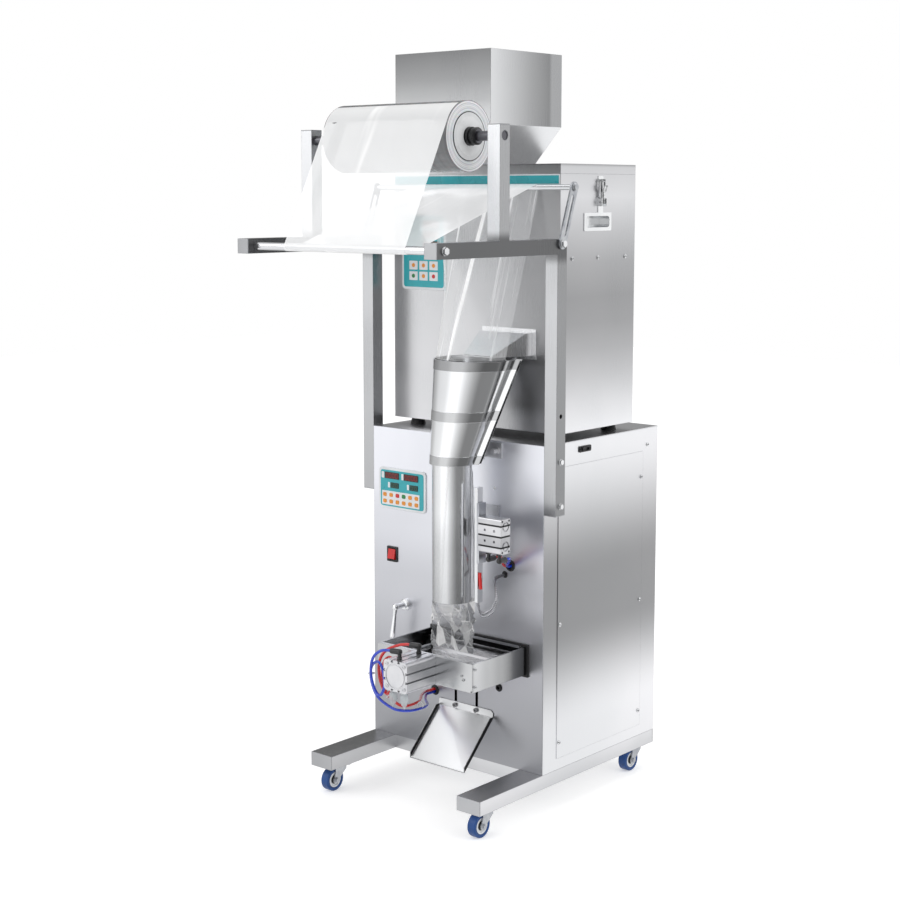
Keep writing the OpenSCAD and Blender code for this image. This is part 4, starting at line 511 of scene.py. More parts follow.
@dataclass(frozen=True)
class Film(Finish):
    """Clear film with a few lengthwise gleams along the piece's own UV map, a painted glow, a painted tone
    on its turned limbs, crumpled below a height into facets painted light and dark.
    """

    haze: float = 0.35
    streak: float = 0.4
    tone: Colour = rgb(0.96, 0.97, 0.98)
    rough: float = 0.12
    lanes: float = 9.0
    shine: float = 0.5
    below: float = -1.0
    # The glow makes the film glow as painted light; the limb tone is painted sheen and shade on its turned
    # limbs, white by default.
    painted_glow: float = 0.0
    painted_limb: Colour = PURE_WHITE

    def facets(self, n: Nodes) -> tuple[Socket, Socket]:
        """Bent cells of the crumpled bag.

        Args:
            n: the material's node tree.

        Returns:
            Painted light and shade of each facet with painted highlights on the creases, and how far each
            facet bulges.
        """
        tall = n.vector("MULTIPLY", n.place(), (1.0, 1.0, 0.62))[0]
        warp = n.vector("MULTIPLY_ADD", n.noise(30.0, 1.0)["Color"], (0.007, 0.007, 0.007), tall)[0]
        cells, creases = (n.add("ShaderNodeTexVoronoi", {"Vector": warp, "Scale": 46.0, "Randomness": 1.0},
                                feature=kind).outputs for kind in ("F1", "DISTANCE_TO_EDGE"))
        # Each facet is painted lighter or darker at random, and the creases are painted bright as
        # highlights.
        shade = n.ramp(n.add("ShaderNodeSeparateColor", {0: cells["Color"]}).outputs[0], 0.35, 0.95)
        line = n.ramp(creases["Distance"], 0.0, 0.05, 1.0, 0.0)
        return n.math("MAXIMUM", shade, n.math("MULTIPLY", line, 0.75)), cells["Distance"]

    def inputs(self, n: Nodes) -> dict[str, object]:
        """Makes the gleams across the web, a haze that thickens to the sides as a painted sheen, the painted
        limb tone, the painted glow and the bag's facets painted light and dark.

        Args:
            n: the material's node tree.

        Returns:
            The shader's inputs by name.
        """
        lanes = n.noise(1.0, 3.0, n.vector("MULTIPLY", n.web(), (self.lanes, 0.5, 1.0))[0],
                        Roughness=0.5, Distortion=0.2)[0]
        bright = n.ramp(lanes, 0.56, 0.70)
        facing = n.add("ShaderNodeLayerWeight", {"Blend": 0.35}).outputs["Facing"]
        facet, bulge = self.facets(n)
        low = n.ramp(n.along((0.0, 0.0, self.below), (0.0, 0.0, self.below + 0.004)), 0.0, 1.0, 1.0, 0.0)
        clear = n.math("ADD", n.math("MULTIPLY", bright, self.streak), self.haze)
        # The painted light and shade of the facets also thickens the bag's film below the height.
        painted_facet_alpha = n.math("MULTIPLY", low, n.math("ADD", n.math("MULTIPLY", facet, 0.55), 0.16))
        # Painted sheen and shade: the film thickens toward its turned limbs, which take the limb tone, white
        # by default and dark on the bag.
        side = n.math("MULTIPLY", n.math("POWER", facing, 2.0), self.shine)
        turned = n.math("MULTIPLY", facing, 1.4, clamp=True)
        tone = n.mix(turned, n.mix(bright, self.tone, PURE_WHITE), self.painted_limb)
        height = n.math("ADD", lanes, n.math("MULTIPLY", n.math("MULTIPLY", bulge, low), 2.5))
        return {"Base Color": n.mix(low, tone, n.mix(facet, rgb(0.42, 0.43, 0.45), PURE_WHITE)),
                "Roughness": n.ramp(lanes, 0.0, 1.0, self.rough, self.rough + 0.12),
                "Alpha": n.math("ADD", n.math("ADD", clear, painted_facet_alpha), side, clamp=True),
                "IOR": 1.52,
                "Coat Weight": 0.6,
                "Coat Roughness": 0.05,
                # The film glows by the painted glow: painted light.
                "Emission Color": tone,
                "Emission Strength": self.painted_glow,
                "Normal": n.bump(height, 0.35, 0.0015)}


@dataclass(frozen=True)
class WoundRoll(Finish):
    """Milky wound film: fine rings on the ends and soft bands along the face."""

    centre: Point = (0.0, 0.0, 0.0)
    face_r: float = 0.0683

    def inputs(self, n: Nodes) -> dict[str, object]:
        """Draws the winding by the distance from the shaft.

        Args:
            n: the material's node tree.

        Returns:
            The shader's inputs by name.
        """
        far = n.from_axle(self.centre)
        rings = n.math("SINE", n.math("MULTIPLY", far, 5200.0))
        layers = n.add("ShaderNodeTexNoise", {"W": far, "Scale": 420.0, "Detail": 3.0},
                       noise_dimensions="1D").outputs[0]
        band = n.noise(1.0, 5.0, n.vector("MULTIPLY", n.place(), (30.0, 0.6, 0.6))[0], Roughness=0.6)[0]
        on_face = n.ramp(far, self.face_r - 0.0012, self.face_r - 0.0003)
        ends = n.mix(n.ramp(layers, 0.35, 0.65), rgb(0.76, 0.77, 0.79), rgb(0.95, 0.955, 0.96))
        face = n.mix(n.ramp(band, 0.35, 0.65), rgb(0.42, 0.425, 0.435), rgb(0.53, 0.535, 0.54))
        return {"Base Color": n.mix(on_face, ends, face),
                "Roughness": n.ramp(band, 0.2, 0.8, 0.16, 0.32),
                "Coat Weight": 0.4,
                "Coat Roughness": 0.15,
                "Subsurface Weight": 0.15,
                "Subsurface Scale": 0.01,
                "Normal": n.bump(n.math("ADD", band, n.math("MULTIPLY", rings, 0.04)), 0.25, 0.0008)}


@dataclass(frozen=True)
class Ringed(Finish):
    """A turned part whose material changes with the distance from its axle.

    Each ring is its outer radius, its colour and how much of it is metal.
    """

    centre: Point = (0.0, 0.0, 0.0)
    rings: tuple[tuple[float, Colour, float], ...] = ()
    rough: float = 0.3

    def inputs(self, n: Nodes) -> dict[str, object]:
        """Lays the rings one outside another.

        Args:
            n: the material's node tree.

        Returns:
            The shader's inputs by name.
        """
        far = n.from_axle(self.centre)
        smudge = n.group(SMUDGE, Size=30.0, Spread=0.25)["Mask"]
        grain = n.group(GRAIN, Stretch=Axis.ROUND.value, Fineness=12.0)
        edge, colour, metal = self.rings[0]
        for outer, tint, share in self.rings[1:]:
            mask = n.ramp(far, edge - 0.0001, edge + 0.0001)
            colour = n.mix(mask, colour, tint)
            metal = n.math("ADD", n.math("MULTIPLY", mask, share),
                           n.math("MULTIPLY", n.math("SUBTRACT", 1.0, mask), metal))
            edge = outer
        return {"Base Color": n.mix(1.0, colour, n.ramp(smudge, 0.0, 1.0, 0.86, 1.0), "MULTIPLY"),
                "Metallic": metal,
                "Roughness": n.ramp(grain["Mask"], 0.0, 1.0, self.rough - 0.05, self.rough + 0.08),
                "Normal": n.bump(grain["Height"], 0.2, 0.0001)}


@dataclass(frozen=True)
class Fittings(Finish):
    """Black push-in elbows with frosted silencers below a height."""

    split: float = 0.294

    def inputs(self, n: Nodes) -> dict[str, object]:
        """Splits the elbows from the silencers.

        Args:
            n: the material's node tree.

        Returns:
            The shader's inputs by name.
        """
        low = n.ramp(n.along((0.0, 0.0, self.split - 0.0002), (0.0, 0.0, self.split + 0.0002)), 1.0, 0.0)
        smudge = n.group(SMUDGE, Size=40.0, Spread=0.25)["Mask"]
        wear_and_light = n.group(WEAR_AND_LIGHT, Radius=0.0006)
        black = n.mix(smudge, rgb(0.07, 0.07, 0.08), rgb(0.13, 0.13, 0.14))
        # Edges lighter, as wear and as a painted highlight.
        black = n.mix(n.math("MULTIPLY", wear_and_light["Mask"], 0.3), black, rgb(0.35, 0.35, 0.37))
        frosted = n.mix(smudge, rgb(0.74, 0.77, 0.79), rgb(0.88, 0.9, 0.91))
        return {"Base Color": n.mix(low, black, frosted),
                "Roughness": n.ramp(low, 0.0, 1.0, 0.3, 0.42),
                "Alpha": n.ramp(low, 0.0, 1.0, 1.0, 0.62),
                "Coat Weight": 0.3,
                "Normal": n.bump(n.noise(900.0, 2.0)[0], 0.1, 0.0002, wear_and_light["Normal"])}


@dataclass(frozen=True)
class Braid(Finish):
    """Metal braid over a lead, along the piece's own UV map."""

    def inputs(self, n: Nodes) -> dict[str, object]:
        """Crosses two sets of strands.

        Args:
            n: the material's node tree.

        Returns:
            The shader's inputs by name.
        """
        web = n.split(n.web())
        across = n.math("MULTIPLY", web["X"], 4 * math.tau)
        down = n.math("MULTIPLY", web["Y"], 200.0)
        one, other = (n.math("SINE", n.math(way, across, down)) for way in ("ADD", "SUBTRACT"))
        strands = n.math("MULTIPLY", one, other)
        return {"Base Color": n.mix(n.ramp(strands, -0.4, 0.6), rgb(0.35, 0.36, 0.38), rgb(0.9, 0.9, 0.92)),
                "Metallic": 1.0,
                "Roughness": n.ramp(strands, -1.0, 1.0, 0.4, 0.25),
                "Normal": n.bump(strands, 0.6, 0.0004)}


def steel(name: str, slot: str = "brushed_stainless", **facts: object) -> Steel:
    """A steel finish with some facts changed."""
    return Steel(name, slot, **facts)


# Painted shade and light: the fades and side fades on the steels below darken and lighten them where light
# falls and where the metal reflects its surroundings, dark bands included. Light rims are painted highlights
# on the edges, dark rims painted edge shade.
DARK_PAINTED_RIM = dict(rim=rgb(0.42, 0.43, 0.46), edge=0.0016)
PANEL = steel("cabinet_front", light=rgb(0.96, 0.965, 0.99), dark=rgb(0.92, 0.925, 0.95), rough=0.33,
              cloud=2.0, fades=(fall(780, 90, (0.0, 1.0), (0.14, 0.98), (0.3, 0.86), (0.48, 0.70),
                                     (0.84, 0.46), (1.0, 0.42)),), **DARK_PAINTED_RIM)
SHELL = steel("weigher_shell", cloud=2.2, light=rgb(0.97, 0.97, 0.98), dark=rgb(0.92, 0.925, 0.935),
              fades=(fade((-227, 0, 0), (227, 0, 0), (0.0, 1.0), (0.23, 0.86), (0.5, 0.70), (0.73, 0.56),
                          (1.0, 0.46)),
                     fall(1345, 800, (0.0, 0.4), (0.006, 0.86), (1.0, 0.96))),
              sides=(fall(1345, 800, (0.0, 0.42), (0.01, 0.74), (0.12, 0.86), (0.25, 0.66), (0.37, 0.5),
                          (0.5, 0.41), (0.6, 0.43), (0.7, 0.52), (0.8, 0.66), (0.9, 0.84), (1.0, 1.0)),),
              curve="LINEAR", **DARK_PAINTED_RIM)
COVER = steel("cabinet_cover", light=rgb(0.97, 0.97, 0.98), dark=rgb(0.93, 0.935, 0.945), rough=0.3,
              cloud=2.4, fades=(fall(780, 90, (0.0, 0.6), (0.008, 1.0), (0.42, 0.36), (0.56, 0.36),
                                     (0.88, 1.0), (1.0, 1.0)),), **DARK_PAINTED_RIM)
HOPPER = steel("hopper_sheet", light=rgb(0.94, 0.945, 0.95), dark=rgb(0.90, 0.905, 0.915), curve="LINEAR",
               fades=(fall(1583, 1350, (0.0, 0.2), (0.25, 0.33), (0.45, 0.52), (0.66, 1.0), (1.0, 1.0)),),
               sides=(fade((0, 40, 0), (0, 270, 0), (0.0, 1.0), (0.3, 0.78), (0.7, 0.48), (0.96, 0.34),
                           (1.0, 0.5)),), **DARK_PAINTED_RIM)
TUBE = steel("stand_tube", light=rgb(0.95, 0.955, 0.965), dark=rgb(0.90, 0.905, 0.915), rough=0.26,
             fades=(fall(1420, 560, (0.0, 1.0), (0.235, 0.98), (0.26, 0.34), (0.3, 0.34), (0.325, 0.76),
                         (1.0, 0.56)),),
             sides=(fall(1420, 560, (0.0, 0.52), (0.235, 0.5), (0.26, 0.18), (0.3, 0.18), (0.325, 0.4),
                         (1.0, 0.34)),), **DARK_PAINTED_RIM)
RAIL = steel("rail_tube", light=rgb(0.93, 0.93, 0.94), dark=rgb(0.86, 0.865, 0.875), axis=Axis.ALONG_Y,
             rough=0.3, fades=(fall(88, 58, (0.0, 0.62), (0.03, 1.0), (1.0, 0.9)),
                               fade((-236, 0, 0), (236, 0, 0), (0.0, 0.7), (0.2, 0.8), (1.0, 1.0))),
             **DARK_PAINTED_RIM)
CAP = steel("tube_cap", light=rgb(0.76, 0.765, 0.775), dark=rgb(0.64, 0.645, 0.655), axis=Axis.ALONG_X,
            rough=0.32, **DARK_PAINTED_RIM)
MIRROR = dict(light=rgb(0.95, 0.955, 0.96), dark=rgb(0.91, 0.915, 0.925), rough=0.11, fineness=9.0,
              dust=0.0)
FILLING = steel("filling_tube", "polished_steel", curve="LINEAR", **MIRROR,
                fades=(fall(738, 450, (0.0, 1.0), (0.35, 1.0), (0.6, 0.78), (1.0, 0.66)),))
SPOUT = steel("spout_sheet", light=rgb(0.98, 0.98, 0.985), dark=rgb(0.94, 0.945, 0.955), rough=0.24,
              dust=0.02, **DARK_PAINTED_RIM)
COLLAR = steel("collar_sheet", "polished_steel", curve="CONSTANT", **MIRROR,
               fades=(fall(737, 950, (0.0, 0.6), (0.0845, 1.0), (0.42, 0.62), (0.514, 1.0), (0.906, 0.5)),))
LEVER = steel("polished_lever", "polished_steel", **MIRROR)
# Painted highlight in a bright band across the chute, and painted shade that makes its side lips black.
CHUTE = steel("chute_sheet", "polished_steel", light=rgb(0.93, 0.935, 0.94), dark=rgb(0.87, 0.875, 0.885),
              rough=0.3, dust=0.1, rim=rgb(0.16, 0.16, 0.17), edge=0.003, curve="LINEAR",
              fades=(fade((107, 0, 201), (0, 0, 55.8), (0.0, 0.66), (0.25, 1.0), (0.492, 0.92),
                          (0.508, 1.0), (0.7, 0.84), (1.0, 0.6)),),
              sides=(fall(201, 55.8, (0.0, 0.05), (1.0, 0.05)),))
JAW_FRAME = steel("jaw_frame", light=rgb(0.92, 0.925, 0.93), dark=rgb(0.86, 0.865, 0.875), rough=0.2,
                  rim=rgb(0.2, 0.2, 0.22),
                  fades=(fade((0, -176, 0), (0, 0, 0), (0.0, 0.72), (0.05, 1.0), (0.3, 0.76), (0.5, 0.58),
                              (0.7, 0.42), (1.0, 0.16)),))
JAW = dict(slot="aluminium", light=rgb(0.90, 0.90, 0.91), dark=rgb(0.82, 0.825, 0.84), axis=Axis.ALONG_X,
           rough=0.24, rim=rgb(0.3, 0.3, 0.31), curve="CONSTANT")
JAW_FRONT = steel("front_jaw", **JAW, fades=(fade((0, -176, 0), (0, -126, 0), (0.0, 0.9), (0.3, 0.05),
                                                  (0.45, 0.9), (0.66, 0.05), (0.8, 1.0)),))
JAW_REAR = steel("rear_jaw", **JAW, fades=(fade((0, -48, 0), (0, 0, 0), (0.0, 1.0), (0.3, 0.05), (0.5, 0.9),
                                                (0.85, 0.05)),))
# The dark bands are painted shade standing in for the body's grooves.
TWIN = steel("twin_rod_body", "aluminium", light=rgb(0.86, 0.86, 0.87), dark=rgb(0.78, 0.785, 0.80),
             axis=Axis.ALONG_X, rough=0.3, cloud=20.0, rim=rgb(0.3, 0.3, 0.31), curve="CONSTANT",
             fades=(fall(566.2, 638.2, (0.0, 1.0), (0.168, 0.06), (0.220, 0.8), (0.474, 0.06), (0.526, 1.0),
                         (0.78, 0.06), (0.832, 0.9)),))
TURNED = steel("turned_steel", "polished_steel", light=rgb(0.93, 0.93, 0.94), dark=rgb(0.84, 0.85, 0.86),
               axis=Axis.ROUND, rough=0.16, dust=0.0)
ZINC = steel("zinc_steel", "zinc_steel", light=rgb(0.80, 0.81, 0.82), dark=rgb(0.64, 0.65, 0.68),
             axis=Axis.ROUND, rough=0.3, cloud=30.0, edge=0.0006)
BRIGHT = steel("bright_zinc", "zinc_steel", light=rgb(0.96, 0.965, 0.97), dark=rgb(0.90, 0.905, 0.91),
               rough=0.14, dust=0.0, rim=rgb(0.25, 0.25, 0.27), edge=0.0008)
# The latches' light and dark clouds and dark rims are painted reflections of polished metal.
LATCH = steel("latch_steel", "zinc_steel", light=rgb(0.92, 0.925, 0.93), dark=rgb(0.36, 0.365, 0.375),
              rough=0.16, cloud=70.0, dust=0.0, rim=rgb(0.10, 0.10, 0.11))
FASTENER = steel("screw_steel", "zinc_steel", light=rgb(0.94, 0.945, 0.95), dark=rgb(0.84, 0.845, 0.855),
                 axis=Axis.ROUND, rough=0.2, cloud=30.0, rim=rgb(0.10, 0.10, 0.11), edge=0.0009)
CAST = steel("drawn_aluminium", "aluminium", light=rgb(0.88, 0.88, 0.89), dark=rgb(0.80, 0.805, 0.82),
             axis=Axis.ROUND, rough=0.32, cloud=20.0, rim=rgb(0.3, 0.3, 0.31), edge=0.001)
DARK_ZINC = steel("black_zinc_steel", "zinc_steel", light=rgb(0.60, 0.60, 0.61), dark=rgb(0.42, 0.42, 0.43),
                  axis=Axis.ROUND, rough=0.3, cloud=30.0, edge=0.0008, rim=rgb(0.14, 0.14, 0.15))
ROLL_AXLE = tuple(place(14, -168, 1394))
SHAFT = Ringed("roll_shaft", "polished_steel", centre=ROLL_AXLE,
               rings=((0.0135, rgb(0.42, 0.42, 0.44), 1.0), (0.0182, rgb(0.09, 0.09, 0.10), 0.0),
                      (0.05, rgb(0.93, 0.935, 0.94), 0.0)))
CORE = Ringed("film_core", "white_plastic", centre=ROLL_AXLE, rough=0.4,
              rings=((0.0458, rgb(0.90, 0.905, 0.91), 0.0), (0.06, rgb(0.17, 0.17, 0.19), 0.0)))
FITTINGS = Fittings("air_fittings", "black_plastic")
RUBBER = Moulded("black_rubber", "black_rubber", colour=rgb(0.10, 0.10, 0.11), rough=0.55,
                 worn_and_lit=rgb(0.3, 0.3, 0.3), depth=0.3)
BLACK = Moulded("black_plastic", "black_plastic", colour=rgb(0.09, 0.09, 0.10), rough=0.32,
                worn_and_lit=rgb(0.28, 0.28, 0.3))
WHITE = Moulded("white_plastic", "white_plastic", colour=rgb(0.93, 0.94, 0.95), rough=0.35, depth=0.08)
TEAL = Moulded("teal_panel", "teal_panel", colour=rgb(0.15, 0.68, 0.72), rough=0.3,
               worn_and_lit=rgb(0.5, 0.8, 0.8), depth=0.05, coat=0.4)
RED = Moulded("red_plastic", "red_plastic", colour=rgb(0.83, 0.10, 0.10), rough=0.25,
              worn_and_lit=rgb(0.95, 0.4, 0.4), coat=0.5)
HOSE = dict(slot="hose", rough=0.22, wear_and_light=0.0, coat=0.6, depth=0.03)
RED_HOSE = Moulded("red_hose", colour=rgb(0.88, 0.16, 0.16), worn_and_lit=rgb(1.0, 0.6, 0.6), **HOSE)
BLUE_HOSE = Moulded("blue_hose", colour=rgb(0.12, 0.26, 0.80), worn_and_lit=rgb(0.5, 0.6, 1.0), **HOSE)
KEY = dict(slot="teal_panel", rough=0.3, coat=0.3, depth=0.05)
ORANGE = Moulded("orange_key", colour=rgb(0.92, 0.58, 0.17), **KEY)
GREEN = Moulded("green_key", colour=rgb(0.10, 0.50, 0.24), **KEY)
WINDOW = dict(slot="black_plastic", depth=0.02, wear_and_light=0.1)
SMOKE = Moulded("display_window", colour=rgb(0.20, 0.04, 0.05), rough=0.3, coat=0.2, **WINDOW)
SMOKE_GREEN = Moulded("green_display_window", colour=rgb(0.04, 0.13, 0.12), rough=0.3, coat=0.2, **WINDOW)
SMOKE_GREY = Moulded("grey_display_window", colour=rgb(0.42, 0.36, 0.33), rough=0.18, coat=0.8, **WINDOW)
DIGIT = Moulded("display_digit", "red_plastic", colour=rgb(0.60, 0.10, 0.10), worn_and_lit=rgb(0.8, 0.16, 0.13),
                rough=0.3, glow=0.2, wear_and_light=0.0)
DIGIT_GREEN = Moulded("green_display_digit", "teal_panel", colour=rgb(0.12, 0.42, 0.34),
                      worn_and_lit=rgb(0.2, 0.6, 0.45), rough=0.3, glow=0.1, wear_and_light=0.0)
WEB_FILM = Film("film_web", "clear_film", haze=0.63, streak=0.2, tone=rgb(0.95, 0.955, 0.96), lanes=4.0,
                painted_glow=0.17)
HUNG_FILM = Film("film_hung", "clear_film", haze=0.24, streak=0.8, tone=rgb(0.93, 0.935, 0.945), lanes=14.0,
                 painted_glow=0.2)
BAG_FILM = Film("film_bag", "clear_film", haze=0.05, streak=0.34, rough=0.06, lanes=16.0, below=0.448,
                shine=0.55, tone=rgb(0.93, 0.935, 0.94), painted_glow=0.05, painted_limb=rgb(0.40, 0.405, 0.42))
BRAIDED = Braid("braided_lead", "hose")

NODE_FINISH: dict[str, Finish] = {node: finish for finish, nodes in (
    (PANEL, "front_panel"),
    (COVER, "cabinet_frame side_covers rear_cover"),
    (SHELL, "weigher_case weigher_lid"),
    (HOPPER, "hopper feeder_tray weigh_bucket bucket_gate"),
    (TUBE, "film_frame"),
    (RAIL, "base_rails"),
    (CAP, "tube_caps"),
    (FILLING, "filling_tube"),
    (SPOUT, "outlet_spout"),
    (COLLAR, "forming_collar"),
    (CHUTE, "discharge_chute"),
    (JAW_FRAME, "jaw_frame"),
    (TURNED, "guide_roller dancer_roller seal_bar"),
    (BRIGHT, "case_hardware"),
    (LATCH, "latch_left latch_right"),
    (FASTENER, "fasteners"),
    (CAST, "jaw_cylinders load_cell feeder_drive former_bracket"),
    (TWIN, "twin_rod_cylinder"),
    (JAW_FRONT, "front_jaw"),
    (JAW_REAR, "rear_jaw"),
    (LEVER, "lever lever_rose"),
    (DARK_ZINC, "chute_screws"),
    (RUBBER, "rubber_grommets weigher_feet"),
    (BLACK, "switch_bezel connectors air_valves"),
    (RED, "rocker_switch"),
    (SHAFT, "roll_shaft"),
    (CORE, "film_core"),
    (FITTINGS, "air_fittings"),
) for node in nodes.split()}


def dress_nodes() -> None:
    """Gives every CAD node its finish, plain zinc where the table names none."""
    for name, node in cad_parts.items():
        finish = NODE_FINISH.get(name, ZINC)
        if name.startswith("wheel_") or name == "film_roll":
            middle = tuple((a + b) / 2 for a, b in zip(*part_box(name)))
            finish = (WoundRoll(name, "white_plastic", centre=middle) if name == "film_roll"
                      else Wheel(name, "tread_and_hub", centre=middle))
        for i in range(len(node.data.materials)):
            node.data.materials[i] = finish.material()
        if not node.data.materials:
            node.data.materials.append(finish.material())
        log.info("node %s: %s", name, finish.name)


def new_piece(name: str, points: list[Vector], faces: list[Face], finish: Finish,
              body: str | None = "frame", soft: bool = False) -> Piece:
    """Makes a mesh piece in place.

    Args:
        name: the piece's name.
        points: its points in the shared frame.
        faces: its faces.
        finish: its finish.
        body: the body it rides on, or None where it is blended later.
        soft: whether it is shaded smooth.

    Returns:
        The piece.
    """
    mesh = bpy.data.meshes.new(name)
    mesh.from_pydata([tuple(p) for p in points], [], faces)
    mesh.materials.append(finish.material())
    mesh.polygons.foreach_set("use_smooth", [soft] * len(faces))
    mesh.update()
    piece = bpy.data.objects.new(name, mesh)
    bpy.context.scene.collection.objects.link(piece)
    if body:
        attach(piece, body)
    log.info("piece %s: %d points", name, len(points))
    return piece


def band_faces(high: int, wide: int, steps: int) -> list[Face]:
    """Quads between rows of points, each row wide points long, with as many steps across."""
    return [(i * wide + j, i * wide + (j + 1) % wide, (i + 1) * wide + (j + 1) % wide, (i + 1) * wide + j)
            for i in range(high - 1) for j in range(steps)]


def grid_piece(name: str, rows: Rows, finish: Finish, body: str | None = "frame",
               loop: bool = False) -> Piece:
    """Sheet or tube through rows of points, with the UV map web: x across and y along.

    Args:
        name: the piece's name.
        rows: its rows of points, all of one length.
        finish: its finish.
        body: the body it rides on, or None where it is blended later.
        loop: whether each row closes on itself.

    Returns:
        The piece.
    """
    wide, high = len(rows[0]), len(rows)
    steps = wide if loop else wide - 1
    piece = new_piece(name, [p for r in rows for p in r], band_faces(high, wide, steps), finish, body,
                      soft=True)
    layer = piece.data.uv_layers.new(name="web")
    corners = [(u, v) for i in range(high - 1) for j in range(steps)
               for u, v in ((j, i), (j + 1, i), (j + 1, i + 1), (j, i + 1))]
    for at, (u, v) in enumerate(corners):
        layer.data[at].uv = (u / steps, v / (high - 1))
    return piece


def spline(points: tuple[Point, ...], parts: int) -> list[Vector]:
    """Smooth curve through the points, in the same units.

    Args:
        points: the points it passes.
        parts: steps between each pair.

    Returns:
        The curve's points.
    """
    p = [Vector(q) for q in points]
    out = []
    for i in range(len(p) - 1):
        a, b, c, d = p[max(i - 1, 0)], p[i], p[i + 1], p[min(i + 2, len(p) - 1)]
        for k in range(parts):
            t = k / parts
            out.append(0.5 * (2 * b + (c - a) * t + (2 * a - 5 * b + 4 * c - d) * t ** 2
                              + (3 * b - a - 3 * c + d) * t ** 3))
    return [*out, p[-1]]


def tube_rows(path: list[Vector], radius: float, sides: int) -> Rows:
    """Rings of points about a path, carried along it without twist.

    Args:
        path: the middle line.
        radius: the rings' radius in metres.
        sides: points in a ring.

    Returns:
        One ring for each point of the path.
    """
    rows = []
    normal = Vector((0, 0, 1)).cross(path[1] - path[0])
    for i, p in enumerate(path):
        ahead = (path[min(i + 1, len(path) - 1)] - path[max(i - 1, 0)]).normalized()
        normal = (normal - ahead * normal.dot(ahead)).normalized()
        side = ahead.cross(normal)
        rows.append([p + radius * (normal * math.cos(a) + side * math.sin(a))
                     for a in (k * math.tau / sides for k in range(sides))])
    return rows


